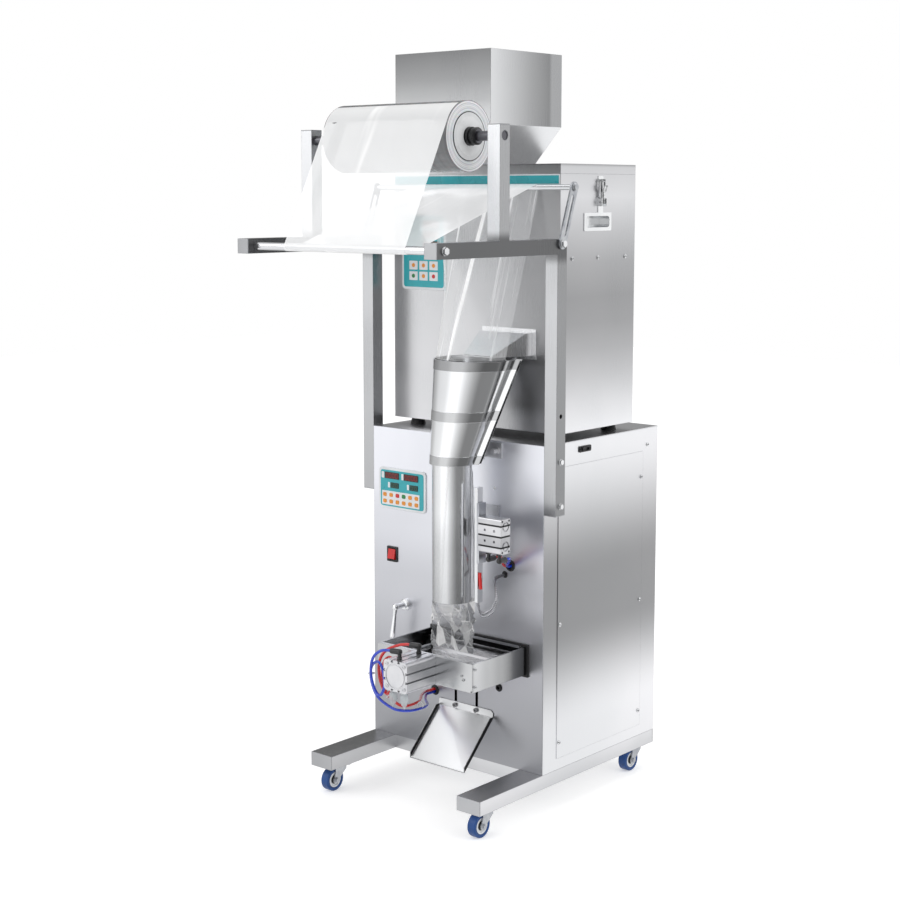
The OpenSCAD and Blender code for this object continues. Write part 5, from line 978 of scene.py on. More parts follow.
@dataclass
class Studio:
    """Camera at the photograph's angle, plain soft lamps and a pale floor."""

    eye: Point = (2.2768, -2.6919, 1.2846)
    turn: float = 40.703
    pitch: float = 7.182
    lens: float = 67.08
    shift: float = -0.05
    lamps: tuple[tuple[str, Point, float, float], ...] = (
        ("key_lamp", (-2.6, -3.2, 3.2), 2.6, 34.0),
        ("side_lamp", (3.4, 0.4, 2.4), 1.8, 16.0),
        ("top_lamp", (0.2, 0.6, 4.2), 2.4, 14.0),
    )

    walls: tuple[Pair, ...] = (
        (-180, 0.55), (-158, 0.85), (-126, 0.95), (-110, 1.25), (-80, 1.25), (-62, 0.75), (-42, 0.36),
        (-24, 0.10), (16, 0.10), (32, 0.5), (44, 1.0), (92, 1.0), (118, 0.3), (142, 0.22), (160, 0.38),
        (180, 0.55))
    level: float = 0.80
    aim: Point = (0.0, 0.0, 0.8)
    floor_glow: float = 0.40
    floor_half: float = 9.0
    floor_tone: Colour = (0.9, 0.9, 0.9, 1.0)

    def build(self) -> None:
        """Sets the whole stage."""
        self.camera()
        self.light()
        self.world()
        self.floor()

    def camera(self) -> None:
        """Places the camera."""
        data = bpy.data.cameras.new("camera")
        data.lens, data.sensor_width, data.shift_y = self.lens, 36.0, self.shift
        camera = bpy.data.objects.new("camera", data)
        camera.location = self.eye
        camera.rotation_euler = (math.radians(90 - self.pitch), 0, math.radians(self.turn))
        bpy.context.scene.collection.objects.link(camera)
        bpy.context.scene.camera = camera
        bpy.context.scene.view_settings.view_transform = "Standard"

    def light(self) -> None:
        """Hangs the soft lamps, each aimed at the middle of the machine."""
        for name, spot, size, power in self.lamps:
            data = bpy.data.lights.new(name, "AREA")
            data.energy, data.size = power, size
            lamp = bpy.data.objects.new(name, data)
            lamp.location = spot
            lamp.rotation_euler = (Vector(self.aim) - Vector(spot)).to_track_quat("-Z", "Y").to_euler()
            bpy.context.scene.collection.objects.link(lamp)

    def around(self, n: Nodes, place: Socket) -> Socket:
        """Brightness of the studio's walls in the direction of a place.

        Args:
            n: the node tree.
            place: the place, or a direction.

        Returns:
            The brightness as a grey.
        """
        way = n.split(place)
        turn = n.math("ARCTAN2", way["Y"], way["X"])
        stops = tuple((0.5 + at / 360, level) for at, level in self.walls)
        return n.tones(n.math("ADD", n.math("DIVIDE", turn, math.tau), 0.5), stops, "LINEAR")

    @staticmethod
    def rays(n: Nodes) -> tuple[Socket, Socket]:
        """Whether a ray comes straight or through glass to the eye, and whether it comes from a gloss."""
        path = n.add("ShaderNodeLightPath").outputs
        return n.math("MAXIMUM", path["Is Camera Ray"], path["Is Transmission Ray"]), path["Is Glossy Ray"]

    def world(self) -> None:
        """White to the eye and through glass, plain light on matt things, and white with soft
        dark panels to one side for what metal shows."""
        world = bpy.data.worlds.new("studio")
        bpy.context.scene.world = world
        world.use_nodes = True
        n = Nodes(world.node_tree)
        way = n.add("ShaderNodeTexCoord").outputs["Generated"]
        shown = n.mix(n.ramp(n.split(way)["Z"], 0.4, 0.95), self.around(n, way), PURE_WHITE)
        seen, glossy = self.rays(n)
        plain = n.mix(glossy, (self.level, self.level, self.level, 1.0), shown)
        n.put(world.node_tree.nodes["Background"], {"Color": n.mix(seen, plain, PURE_WHITE)})

    def floor(self) -> None:
        """Lays the pale floor, which metal shows with the backdrop's panels on it."""
        w = self.floor_half
        mesh = bpy.data.meshes.new("floor")
        mesh.from_pydata([(-w, -w, 0), (w, -w, 0), (w, w, 0), (-w, w, 0)], [], [(0, 1, 2, 3)])
        floor = bpy.data.objects.new("floor", mesh)
        bpy.context.scene.collection.objects.link(floor)
        material = bpy.data.materials.new("pale_floor")
        material.use_nodes = True
        n = Nodes(material.node_tree)
        seen, glossy = self.rays(n)
        far = n.vector("LENGTH", n.place())["Value"]
        panels = n.mix(n.ramp(far, 0.7, 1.15), self.floor_tone, self.around(n, n.place()))
        lit = n.math("MULTIPLY", n.math("MULTIPLY", glossy, panels), 0.95)
        n.put(material.node_tree.nodes["Principled BSDF"], {
            "Base Color": n.mix(glossy, self.floor_tone, (0.15, 0.15, 0.15, 1.0)),
            "Roughness": 1.0,
            "Specular IOR Level": 0.0,
            "Emission Color": PURE_WHITE,
            "Emission Strength": n.math("ADD", n.math("MULTIPLY", seen, self.floor_glow), lit)})
        mesh.materials.append(material)


@dataclass
class FilmPath:
    """The film from its roll to the collar: three sheets that share their edges."""

    left: float = -148.0
    right: float = 176.0
    roll: Pair = (-168.0, 1394.0)
    roll_r: float = 69.0
    guide: Pair = (-342.0, 1180.0)
    guide_r: float = 8.5
    dancer: Pair = (49.417, 1297.571)
    dancer_r: float = 6.5
    rim_centre: Pair = (84.0, -38.0)
    rim_r: float = 80.0
    rim_z: float = 951.0
    rim_from: float = 132.0
    rim_to: float = 361.0
    columns: int = 72
    rows: int = 60
    slack: float = 0.5
    seeds: tuple[float, float, float] = (3.0, 9.0, 21.0)

    @property
    def width(self) -> float:
        """Width of the film."""
        return self.right - self.left

    @staticmethod
    def heading(a: Pair, b: Pair) -> float:
        """Direction from a to b in degrees."""
        return math.degrees(math.atan2(b[1] - a[1], b[0] - a[0]))

    def tangent(self, a: Pair, ra: float, b: Pair, rb: float) -> float:
        """Direction of the normal where a line touches both circles; rb is negative for a cross line."""
        far = math.dist(a, b)
        return self.heading(a, b) - math.degrees(math.acos((ra - rb) / far)) + 360

    @staticmethod
    def arc(c: Pair, r: float, a: float, b: float, steps: int) -> list[Pair]:
        """Points on a circle between two directions."""
        turns = [math.radians(a + (b - a) * i / steps) for i in range(steps + 1)]
        return [(c[0] + r * math.cos(t), c[1] + r * math.sin(t)) for t in turns]

    def ripple(self, s: float, t: float, seed: float) -> float:
        """How far the slack film stands off its flat path.

        Args:
            s: share of the way across.
            t: share of the way along.
            seed: the sheet's own seed.

        Returns:
            The distance in millimetres.
        """
        lanes = noise.noise(Vector((s * 5.0, t * 0.7, seed)))
        fine = noise.noise(Vector((s * 17.0, t * 1.6, seed + 4)))
        return 2.6 * lanes + 0.3 * fine

    def straight(self, line: list[Pair], slack: float, seed: float) -> Rows:
        """Rows of a sheet along a line in Y and Z, slack between its ends.

        Args:
            line: the path's points.
            slack: how much of the ripple shows.
            seed: the ripple's own seed.

        Returns:
            Rows of points.
        """
        rows = []
        for i, (y, z) in enumerate(line):
            a, b = line[max(i - 1, 0)], line[min(i + 1, len(line) - 1)]
            d = Vector((b[0] - a[0], b[1] - a[1])).normalized()
            free = min(1.0, 6 * min(math.dist(line[0], (y, z)), math.dist(line[-1], (y, z))) / 300)
            row = []
            for j in range(self.columns + 1):
                s = j / self.columns
                off = self.ripple(s, i / len(line), seed) * slack * free
                row.append(place(self.left + self.width * s, y - d[1] * off, z + d[0] * off))
            rows.append(row)
        return rows

    @staticmethod
    def between(a: Pair, b: Pair, steps: int) -> list[Pair]:
        """Points between two points, without the last."""
        return [(a[0] + (b[0] - a[0]) * i / steps, a[1] + (b[1] - a[1]) * i / steps) for i in range(steps)]

    def curl_point(self, s: float, t: float, top: Pair) -> Point:
        """Point of the web between the dancer roller and the collar's rim.

        Args:
            s: share of the way across.
            t: share of the way down, 0 at the roller and 1 at the rim.
            top: Y and Z where the film leaves the roller.

        Returns:
            The point on the drawing.
        """
        turn = math.radians(self.rim_from + (self.rim_to - self.rim_from) * s)
        foot = (self.rim_centre[0] + self.rim_r * math.cos(turn),
                self.rim_centre[1] + self.rim_r * math.sin(turn), self.rim_z)
        start = (self.left + self.width * s, top[0], top[1])
        x, y, z = (a + (b - a) * t for a, b in zip(start, foot))
        hang = math.sin(math.pi * min(1, t * 1.15)) if t < 0.87 else 0.0
        off = self.ripple(s * 1.4, t, self.seeds[2]) * 1.6 * hang
        return (x + off * 0.3, y - off, z)

    def build(self) -> None:
        start = self.tangent(self.roll, self.roll_r, self.guide, self.guide_r)
        under = self.tangent(self.guide, self.guide_r, self.dancer, -self.dancer_r)
        on_roll = self.arc(self.roll, self.roll_r, start - 40, start, 12)
        on_guide = self.arc(self.guide, self.guide_r, start, (start + under) / 2, 8)
        first = [*on_roll, *self.between(on_roll[-1], on_guide[0], 40)[1:], *on_guide]
        a = grid_piece("film_from_roll", self.straight(first, self.slack, self.seeds[0]), WEB_FILM)
        off_guide = self.arc(self.guide, self.guide_r, (start + under) / 2, under, 8)
        over = self.arc(self.dancer, self.dancer_r, under - 180, -12, 14)
        second = [*off_guide, *self.between(off_guide[-1], over[0], 50)[1:], *over]
        b = grid_piece("film_to_dancer", self.straight(second, self.slack, self.seeds[1]), WEB_FILM, None)
        top = over[-1]
        rows = [[place(*self.curl_point(j / self.columns, i / self.rows, top))
                 for j in range(self.columns + 1)] for i in range(self.rows + 1)]
        c = grid_piece("film_to_collar", rows, HUNG_FILM, None)
        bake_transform(b)
        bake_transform(c)
        for piece in (a, b, c):
            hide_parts("film_web")


@dataclass
class BagTube:
    """The film inside the collar and on the filling tube, lapped at its seam, and the crumpled bag below.

    The film lies calm on the strip, a half angle and its edge, where the heated bar presses. The fold is
    a slack ridge: its direction at the top, how far it swings on the way down, and its half width.
    """

    width: float = 324.0
    axis: Pair = (66.0, -88.0)
    rim: tuple[float, float, float, float] = (84.0, -38.0, 80.0, 951.0)
    foot: tuple[float, float, float, float] = (66.0, -88.0, 42.4, 738.0)
    tube_r: float = 41.0
    tube_end: float = 448.0
    seal_z: float = 345.6
    seal_half: float = 1.6
    edge_rim: float = 1.0
    edge_top: float = 6.0
    edge_foot: float = -20.0
    rim_turn: float = 229.0
    lap: float = 0.45
    strip: Pair = (15.0, 12.0)
    fold: tuple[float, float, float] = (78.0, 30.0, 34.0)
    slack: float = 7.0
    flutter: float = 1.8
    crush: float = 9.0
    columns: int = 150
    cuts: tuple[int, int, int] = (24, 60, 70)

    def cone_ring(self, z: float) -> list[Vector]:
        """One cut across the film inside the collar.

        Args:
            z: the cut's height.

        Returns:
            Its points.
        """
        t = (z - self.foot[3]) / (self.rim[3] - self.foot[3])
        cx, cy, r = (a + (b - a) * t for a, b in zip(self.foot[:3], self.rim[:3]))
        first = self.edge_top + (self.edge_rim - self.edge_top) * smooth(t)
        last = first + (math.degrees(self.width / r) if t < 0.98 else self.rim_turn)
        turns = [math.radians(last + (first - last) * j / self.columns) for j in range(self.columns + 1)]
        return [place(cx + r * math.cos(a), cy + r * math.sin(a), z) for a in turns]

    def crease(self, angle: float, share: float, z: float, down: float, loose: float) -> float:
        """How far the film stands off its round.

        Args:
            angle: direction from the tube's axis, in radians.
            share: how far across the film, from 0 to 1.
            z: height.
            down: how far down the filling tube, from 0 to 1 and on below it.
            loose: how far down the bag, from 0 at the tube's end to 1 at the seal.

        Returns:
            The distance in millimetres.
        """
        turn = math.degrees(angle)
        grip = min(1.0, 4 * (self.foot[3] - z) / 100)
        (half, edge), (start, swing, spread) = self.strip, self.fold
        pressed = smooth((abs((turn + 180) % 360 - 180) - half) / edge)
        off = 0.5 * noise.noise(Vector((share * 13, z / 160, 2.0))) * grip * pressed
        lean = max(0.0, 1 - abs(turn % 360 - (start - swing * min(1.0, down))) / spread)
        off += self.slack * smooth(lean) * grip * (1 - loose)
        off += self.flutter * smooth(lean * 1.6) * grip * math.sin(turn * 0.42 + z / 42) * (1 - loose)
        if loose > 0:
            ball = Vector((math.cos(angle) * 1.5, math.sin(angle) * 1.5, z / 24))
            cell, _ = noise.voronoi(ball * 1.15)
            ridge = (cell[1] - cell[0]) - 0.35
            off += self.crush * ridge * math.sin(math.pi * min(1.0, loose * 1.02)) ** 0.7
            off += 2.6 * noise.noise(ball * 2.3) * math.sin(math.pi * loose)
        return off

    def tube_ring(self, z: float) -> list[Vector]:
        """One cut across the film on the filling tube, or across the bag below it.

        Args:
            z: the cut's height.

        Returns:
            Its points.
        """
        down = (self.foot[3] - z) / (self.foot[3] - self.tube_end)
        first = self.edge_top + (self.edge_foot - self.edge_top) * min(1.2, down)
        turn = math.degrees(self.width / self.tube_r)
        loose = min(1.0, max(0.0, (self.tube_end - z) / (self.tube_end - self.seal_z)))
        b = self.tube_r + (self.seal_half - self.tube_r) * (1 - (1 - loose) ** 1.6)
        a = math.sqrt(max(2 * self.tube_r ** 2 - b ** 2, b ** 2))
        out = []
        for j in range(self.columns + 1):
            s = j / self.columns
            angle = math.radians(first + turn * (1 - s))
            lap = self.lap * smooth((s - 0.62) / 0.14)
            off = self.crease(angle, s, z, down, loose)
            x = (a + lap + off) * math.cos(angle)
            y = (b + lap * (b / self.tube_r) + off * min(1.0, b / 20)) * math.sin(angle)
            out.append(place(self.axis[0] + x, self.axis[1] + y, z))
        return out

    def build(self) -> None:
        levels = (self.rim[3], self.foot[3], self.tube_end, self.seal_z)
        heights = [levels[0]]
        for top, foot, count in zip(levels, levels[1:], self.cuts):
            heights += [top - (i + 1) * (top - foot) / count for i in range(count)]
        rows = [self.cone_ring(z) if z > self.foot[3] else self.tube_ring(z) for z in heights]
        bag = grid_piece("film_tube_and_bag", rows, BAG_FILM)
        for face in bag.data.polygons:
            low = min(bag.data.vertices[v].co.z for v in face.vertices)
            face.use_smooth = low > self.tube_end / 1000 - 0.006
        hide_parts("bag_tube")


def rounded_outline(w: float, h: float, r: float, steps: int = 5) -> list[Pair]:
    """Rounded rectangle about the origin.

    Args:
        w: width.
        h: height.
        r: corner radius.
        steps: steps in each corner.

    Returns:
        Its points, anticlockwise.
    """
    out = []
    for cx, cz, base in ((w / 2 - r, h / 2 - r, 0), (-w / 2 + r, h / 2 - r, 90),
                         (-w / 2 + r, -h / 2 + r, 180), (w / 2 - r, -h / 2 + r, 270)):
        for i in range(steps + 1):
            a = math.radians(base + 90 * i / steps)
            out.append((cx + r * math.cos(a), cz + r * math.sin(a)))
    return out


def raised_plate(name: str, x: float, y: float, z: float, w: float, h: float, r: float, thick: float,
                 finish: Finish, chamfer: float = 0.5) -> Piece:
    """Plate with round corners that faces the front.

    Args:
        name: the piece's name.
        x: its middle.
        y: the depth of its back.
        z: its middle.
        w: width.
        h: height.
        r: corner radius.
        thick: thickness.
        finish: its finish.
        chamfer: the chamfer round its face.

    Returns:
        The piece.
    """
    outline = rounded_outline(w, h, r)
    inner = rounded_outline(w - 2 * chamfer, h - 2 * chamfer, max(r - chamfer, 0.1))
    rings = [[(px, y, pz) for px, pz in outline], [(px, y - thick + chamfer, pz) for px, pz in outline],
             [(px, y - thick, pz) for px, pz in inner]]
    count = len(outline)
    points = [place(x + p[0], p[1], z + p[2]) for ring in rings for p in ring]
    ends = [tuple(range(count)), tuple(range(2 * count, 3 * count))]
    piece = new_piece(name, points, ends + band_faces(3, count, count), finish)
    face_out(piece)
    return piece


def face_out(piece: Piece) -> None:
    """Turns the faces of a closed piece outwards.

    Args:
        piece: the piece.
    """
    work = bmesh.new()
    work.from_mesh(piece.data)
    bmesh.ops.recalc_face_normals(work, faces=work.faces)
    work.to_mesh(piece.data)
    work.free()


TOP_SHARE = 0.88


def key_tree() -> Tree:
    """Geometry Nodes tree that puts a rounded key on every point.

    Returns:
        A tree with inputs Width, Height, Corner, Rise and Finish.
    """
    tree = bpy.data.node_groups.new("key_caps", "GeometryNodeTree")
    face = tree.interface
    face.new_socket(name="Geometry", in_out="INPUT", socket_type="NodeSocketGeometry")
    for name in ("Width", "Height", "Corner", "Rise"):
        face.new_socket(name=name, in_out="INPUT", socket_type="NodeSocketFloat").default_value = 0.002
    face.new_socket(name="Finish", in_out="INPUT", socket_type="NodeSocketMaterial")
    face.new_socket(name="Geometry", in_out="OUTPUT", socket_type="NodeSocketGeometry")
    n = Nodes(tree)
    given = n.add("NodeGroupInput").outputs
    outline = n.add("GeometryNodeCurvePrimitiveQuadrilateral", {"Width": given["Width"],
                                                                "Height": given["Height"]})
    fillet = n.add("GeometryNodeFilletCurve", {"Curve": outline.outputs[0], "Count": 5,
                                               "Radius": given["Corner"]}, mode="POLY")
    fill = n.add("GeometryNodeFillCurve", {"Curve": fillet.outputs[0]}, mode="NGONS")
    raised = n.add("GeometryNodeExtrudeMesh", {"Mesh": fill.outputs[0], "Offset Scale": given["Rise"],
                                               "Individual": False}, mode="FACES").outputs
    shrink = n.add("GeometryNodeScaleElements", {"Geometry": raised["Mesh"], "Selection": raised["Top"],
                                                 "Scale": TOP_SHARE})
    spread = n.add("GeometryNodeInstanceOnPoints", {"Points": given["Geometry"],
                                                    "Instance": shrink.outputs[0],
                                                    "Rotation": (math.pi / 2, 0, 0)})
    real = n.add("GeometryNodeRealizeInstances", {0: spread.outputs[0]})
    paint = n.add("GeometryNodeSetMaterial", {"Geometry": real.outputs[0], "Material": given["Finish"]})
    n.put(n.add("NodeGroupOutput"), {0: paint.outputs[0]})
    return tree


def grown(name: str, points: list[Vector], edges: list[tuple[int, int]], tree: Tree,
          values: dict[str, object], finish: Finish, body: str = "frame") -> Piece:
    """Runs a Geometry Nodes tree on a set of points and keeps the result as a plain mesh.

    Args:
        name: the piece's name.
        points: the points it starts from.
        edges: the edges between them.
        tree: the tree.
        values: the tree's inputs by name.
        finish: the piece's finish.
        body: the body it rides on.

    Returns:
        The piece.
    """
    seed = bpy.data.meshes.new(name + "_seed")
    seed.from_pydata([tuple(p) for p in points], edges, [])
    holder = bpy.data.objects.new(name + "_seed", seed)
    bpy.context.scene.collection.objects.link(holder)
    modifier = holder.modifiers.new("grow", "NODES")
    modifier.node_group = tree
    for item in tree.interface.items_tree:
        if item.in_out == "INPUT" and item.name in values:
            modifier[item.identifier] = values[item.name]
        elif item.in_out == "INPUT" and item.name == "Finish":
            modifier[item.identifier] = finish.material()
    bpy.context.view_layer.update()
    graph = bpy.context.evaluated_depsgraph_get()
    mesh = bpy.data.meshes.new_from_object(holder.evaluated_get(graph))
    holder.modifiers.remove(modifier)
    bpy.data.objects.remove(holder)
    mesh.name = name
    if not mesh.materials:
        mesh.materials.append(finish.material())
    piece = bpy.data.objects.new(name, mesh)
    bpy.context.scene.collection.objects.link(piece)
    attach(piece, body)
    log.info("grown %s: %d points", name, len(mesh.vertices))
    return piece


@dataclass
class ControlPanel:
    """Framed membrane panel: plate, field, displays with plain zeros, labels left bare and keys.

    Displays and labels are given by their middle, width and height, and keys by their middles.
    """

    name: str
    x: float
    y: float
    z: float
    w: float
    h: float
    displays: tuple[tuple[float, float, float, float, str], ...]
    labels: tuple[tuple[float, float, float, float], ...]
    keys: dict[str, tuple[Pair, ...]]
    key_size: tuple[float, float, float]
    plate: float = 3.0
    corner: float = 9.0
    inset: float = 11.0
    finishes: dict[str, Finish] = field(default_factory=lambda: {
        "red": RED, "orange": ORANGE, "green": GREEN, "black": BLACK})

    def build(self, tree: Tree) -> list[Piece]:
        """Makes the panel's pieces.

        Args:
            tree: the tree that grows the keys.

        Returns:
            The pieces, the plate first.
        """
        face = self.y - self.plate
        made = [raised_plate(self.name + "_plate", self.x, self.y, self.z, self.w, self.h, self.corner,
                             self.plate, WHITE, 0.8),
                raised_plate(self.name + "_field", self.x, face, self.z, self.w - self.inset,
                             self.h - self.inset, self.corner - 3, 0.5, TEAL, 0.2)]
        glass = {"red": (SMOKE, DIGIT), "green": (SMOKE_GREEN, DIGIT_GREEN), "grey": (SMOKE_GREY, SMOKE)}
        for i, (x, z, w, h, kind) in enumerate(self.displays):
            window, digit = glass[kind]
            cx, cz = self.x + x, self.z + z
            made.append(raised_plate(f"{self.name}_display_{i}", cx, face - 0.4, cz, w, h, 1.2, 1.2,
                                     window, 0.3))
            made.append(self.digits(f"{self.name}_digits_{i}", cx, face - 1.6, cz, w, h, digit))
        for i, (x, z, w, h) in enumerate(self.labels):
            made.append(raised_plate(f"{self.name}_label_{i}", self.x + x, face - 0.4, self.z + z, w, h,
                                     min(1.5, w / 3, h / 3), 0.4, WHITE, 0.1))
        for colour, spots in self.keys.items():
            points = [place(self.x + x, face - 0.75, self.z + z) for x, z in spots]
            w, h, r = self.key_size
            values = {"Width": w / 1000, "Height": h / 1000, "Corner": r / 1000, "Rise": 0.0009}
            made.append(grown(f"{self.name}_keys_{colour}", points, [], tree, values, self.finishes[colour]))
        return made

    @staticmethod
    def digits(name: str, x: float, y: float, z: float, w: float, h: float, finish: Finish) -> Piece:
        """Row of seven-segment zeros in a display, each of six bars.

        Args:
            name: the piece's name.
            x: the display's middle.
            y: the depth of its face.
            z: the display's middle.
            w: the display's width.
            h: the display's height.
            finish: the bars' finish.

        Returns:
            The piece, a set of thin bars.
        """
        count = max(3, round(w / 11))
        tall, wide, bar = h * 0.62, min(w / count * 0.56, h * 0.4), h * 0.075
        points, faces = [], []
        for k in range(count):
            cx = x + (k - (count - 1) / 2) * w * 0.86 / count
            uprights = [(sx, sz, bar, tall / 2) for sz in (0.5, -0.5) for sx in (-1, 1)]
            for sx, sz, bw, bh in [(0, 1, wide, bar), (0, -1, wide, bar), *uprights]:
                px, pz = cx + sx * wide / 2, z + sz * tall / 2
                base = len(points)
                for dy in (0.0, -0.12):
                    points += [place(px + i * bw / 2, y + dy, pz + j * bh / 2 * 0.86)
                               for i, j in ((-1, -1), (1, -1), (1, 1), (-1, 1))]
                faces += [(base, base + 1, base + 2, base + 3), (base + 4, base + 7, base + 6, base + 5)]
                faces += [(base + i, base + 4 + i, base + 4 + (i + 1) % 4, base + (i + 1) % 4)
                          for i in range(4)]
        piece = new_piece(name, points, faces, finish)
        face_out(piece)
        return piece


@dataclass
class AirHose:
    """One hose between a fitting and a grommet, or between a grommet and the sealing bar."""

    name: str
    route: tuple[Point, ...]
    finish: Finish
    diameter: float = 6.0
    stiffness: str = "medium"
    steps: int = 6
    sides: int = 12

    def path(self) -> list[Vector]:
        """The hose's centreline in the shared frame."""
        return [place(*p) for p in spline(self.route, self.steps)]

    def build(self) -> Piece:
        """Returns:
            The piece, a tube with open ends.
        """
        path = self.path()
        rows = tube_rows(path, self.diameter / 2000, self.sides)
        hose = grid_piece(self.name, rows, self.finish, loop=True)
        return hose


RED_ROUTE = ((55.13, -193.71, 373.5), (45.62, -196.08, 373.5), (38.83, -197.77, 373.5), (22, -206, 370),
             (2, -222, 358), (-6, -232, 334), (0, -236, 300), (16, -234, 274), (27, -226, 292),
             (22, -218, 326), (8, -213, 344), (-7, -215, 334), (-11, -219, 306), (0, -221, 276),
             (22, -216, 254), (38, -204, 245), (28, -150, 240), (-20, -86, 230), (-54.5, -34, 219),
             (-57.5, -8, 217.1), (-57.5, 6, 217.1))
BLUE_ROUTE = ((55.13, -251.71, 373.5), (45.62, -254.08, 373.5), (38.83, -255.77, 373.5), (24, -262, 370),
              (6, -264, 352), (-1, -262, 318), (6, -258, 286), (18, -255, 276), (27, -252, 296),
              (21, -250, 328),
              (6, -248, 342), (-14, -246, 328), (-18, -243, 298), (-4, -240, 266), (24, -233, 248),
              (44, -224, 242), (52, -190, 236), (34, -130, 228), (-18, -76, 218), (-54.5, -32, 211.5),
              (-57.5, -8, 210.9), (-57.5, 6, 210.9))


@dataclass
class HeaterLead:
    """The sealing bar's two braided leads, which loop from their grommet."""

    route: tuple[Point, ...] = (
        (135.5, 6, 499), (135.5, -8, 499), (138, -30, 500), (152, -54, 500), (170, -72, 490),
        (180, -82, 470), (174, -90, 450), (158, -94, 438), (144, -92, 440), (138, -88.5, 450),
        (137.6, -88, 458))
    plug: tuple[Point, ...] = ((147, -92, 486), (146, -92, 496), (144.5, -92, 512), (144.5, -92, 520))

    def build(self) -> None:
        """Makes the leads and the red splice at their end on the bar."""
        for name, out, radius in (("heater_lead", 0.0, 0.0026), ("heater_sensor_lead", 5.4, 0.0022)):
            bows = [out * math.sin(math.pi * i / 10) for i in range(len(self.route))]
            points = tuple((x + out * 0.2 + 0.9 * bow, y - out, z - 1.2 * bow)
                           for bow, (x, y, z) in zip(bows, self.route))
            path = [place(*p) for p in spline(points, 6)]
            lead = grid_piece(name, tube_rows(path, radius, 10), BRAIDED, None, loop=True)
            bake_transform(lead)
        sleeve = [place(*p) for p in spline(self.plug, 4)]
        grid_piece("red_lead_splice", capped(tube_rows(sleeve, 0.0036, 14)), RED, "sealer", loop=True)


@dataclass
class HoseTie:
    """Thin band that holds two hoses together: a flat loop about their middle."""

    name: str
    centre: Point
    along: Point
    radius: float = 6.6
    steps: int = 24

    def build(self) -> None:
        """Makes the band."""
        ahead = Vector(self.along).normalized()
        side = ahead.orthogonal().normalized()
        up = ahead.cross(side)
        middle = Vector(self.centre)
        rows = []
        for i in range(self.steps + 1):
            turn = i * math.tau / self.steps
            out = side * math.cos(turn) + up * math.sin(turn)
            rows.append([place(*(middle + out * (self.radius + a) + ahead * b))
                         for a, b in ((-0.5, -1.3), (0.5, -1.3), (0.5, 1.3), (-0.5, 1.3))])
        grid_piece(self.name, rows, WHITE, loop=True)


def capped(rows: Rows) -> Rows:
    """Draws both ends of a tube in, so that it is closed.

    Args:
        rows: the tube's rings.

    Returns:
        The rings with a small one added at each end.
    """
    first = sum(rows[0], Vector()) / len(rows[0])
    last = sum(rows[-1], Vector()) / len(rows[-1])
    return [[first.lerp(p, 0.02) for p in rows[0]], *rows, [last.lerp(p, 0.02) for p in rows[-1]]]


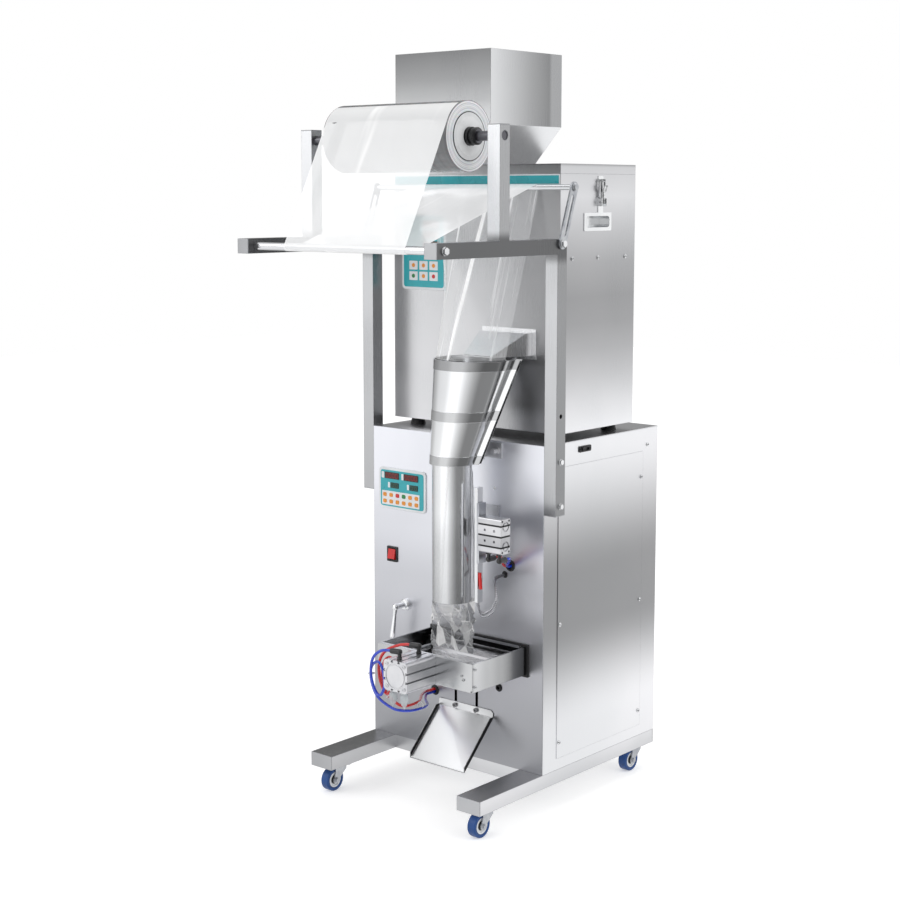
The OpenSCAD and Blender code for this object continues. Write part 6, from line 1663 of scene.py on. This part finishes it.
@dataclass
class Plumbing:
    """Air hoses, their ties and the sealing bar's leads."""

    twin_ports: Pair = (164.0, 192.0)
    twin_ends: Pair = (146.5, 153.5)
    ties: tuple[tuple[Point, Point], ...] = (
        ((-16.0, -244.6, 313), (0.1, 0.0, -1.0)), ((10.0, -218.6, 265), (0.8, 0.1, -0.7)),
        ((43, -160, 238), (-0.1, 0.9, -0.1)))

    def build(self) -> None:
        """Makes the hoses, which replace the CAD hoses."""
        made = [AirHose("red_air_hose", RED_ROUTE, RED_HOSE).build(),
                AirHose("blue_air_hose", BLUE_ROUTE, BLUE_HOSE).build()]
        run = ((0, -77, 550.2), (0, -67, 550.2), (0, -58, 550.2), (-4, -40, 544), (-12, -22, 526),
               (-14, -8, 520), (-14, 6, 520))
        for name, x0, x1, finish in zip(("red", "blue"), self.twin_ports, self.twin_ends,
                                        (RED_HOSE, BLUE_HOSE)):
            route = tuple((x0 + (x1 - x0) * p[0] / -14, p[1], p[2]) for p in run)
            made.append(AirHose(name + "_sealer_hose", route, finish).build())
        for hose in made:
            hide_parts("air_hoses")
        HeaterLead().build()
        for i, (at, ahead) in enumerate(self.ties):
            HoseTie(f"hose_tie_{i}", at, ahead).build()


@dataclass
class CaseTrim:
    """The bare coloured band under the lid."""

    half: float = 226.0
    low: float = 1302.0
    high: float = 1324.0

    def build(self) -> None:
        """Lays the band on the case's front."""
        mid, tall = (self.low + self.high) / 2, self.high - self.low
        raised_plate("case_band", 0, 60, mid, 2 * self.half, tall, 1, 0.4, WHITE, 0.1)
        raised_plate("case_band_colour", 0, 59.6, mid, 2 * self.half - 6, tall - 5, 1, 0.2, TEAL, 0.05)


def main() -> None:
    """Builds the scene's classes in order."""
    logging.basicConfig(level=logging.INFO, format="%(name)s: %(message)s")
    Studio().build()
    Plumbing().build()
    dress_nodes()
    FilmPath().build()
    BagTube().build()
    keys = key_tree()
    columns = (-50, -31.5, -13, 5.5, 24, 42.5)
    lower = ControlPanel(
        "lower_panel", -150, 0, 644.5, 137, 91,
        displays=((-29, 28.5, 42, 14.5, "red"), (27, 28.5, 42, 14.5, "red"),
                  (-21, 7.4, 24, 12, "green"), (35, 7.4, 24, 12, "green")),
        labels=((-56, 28.5, 8, 14), (2, 28.5, 6, 14), (-38, 7.4, 6, 12), (18, 7.4, 6, 12),
                (-3.8, -21.5, 110, 31)),
        keys={"orange": tuple((x, -14.5) for i, x in enumerate(columns) if i not in (2, 3))
              + tuple((x, -29) for x in columns), "red": ((-13, -14.5),), "green": ((5.5, -14.5),)},
        key_size=(11, 9, 3)).build(keys)
    upper = ControlPanel(
        "upper_panel", -139, 60, 1160.5, 126, 165,
        displays=((21, 58, 45, 18, "grey"), (21, 36, 45, 18, "grey"), (21, 13.5, 45, 18, "grey")),
        labels=tuple((x, z, 24, 19) for x in (-29, 0, 29) for z in (-30, -53)),
        keys={"orange": ((-29, -30), (0, -30), (29, -30), (0, -53)), "green": ((-29, -53),),
              "red": ((29, -53),)},
        key_size=(9, 9, 4.4)).build(keys)
    for piece in (*lower, *upper):
        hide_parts("control_panels")
    CaseTrim().build()


if __name__ == "__main__":
    main()
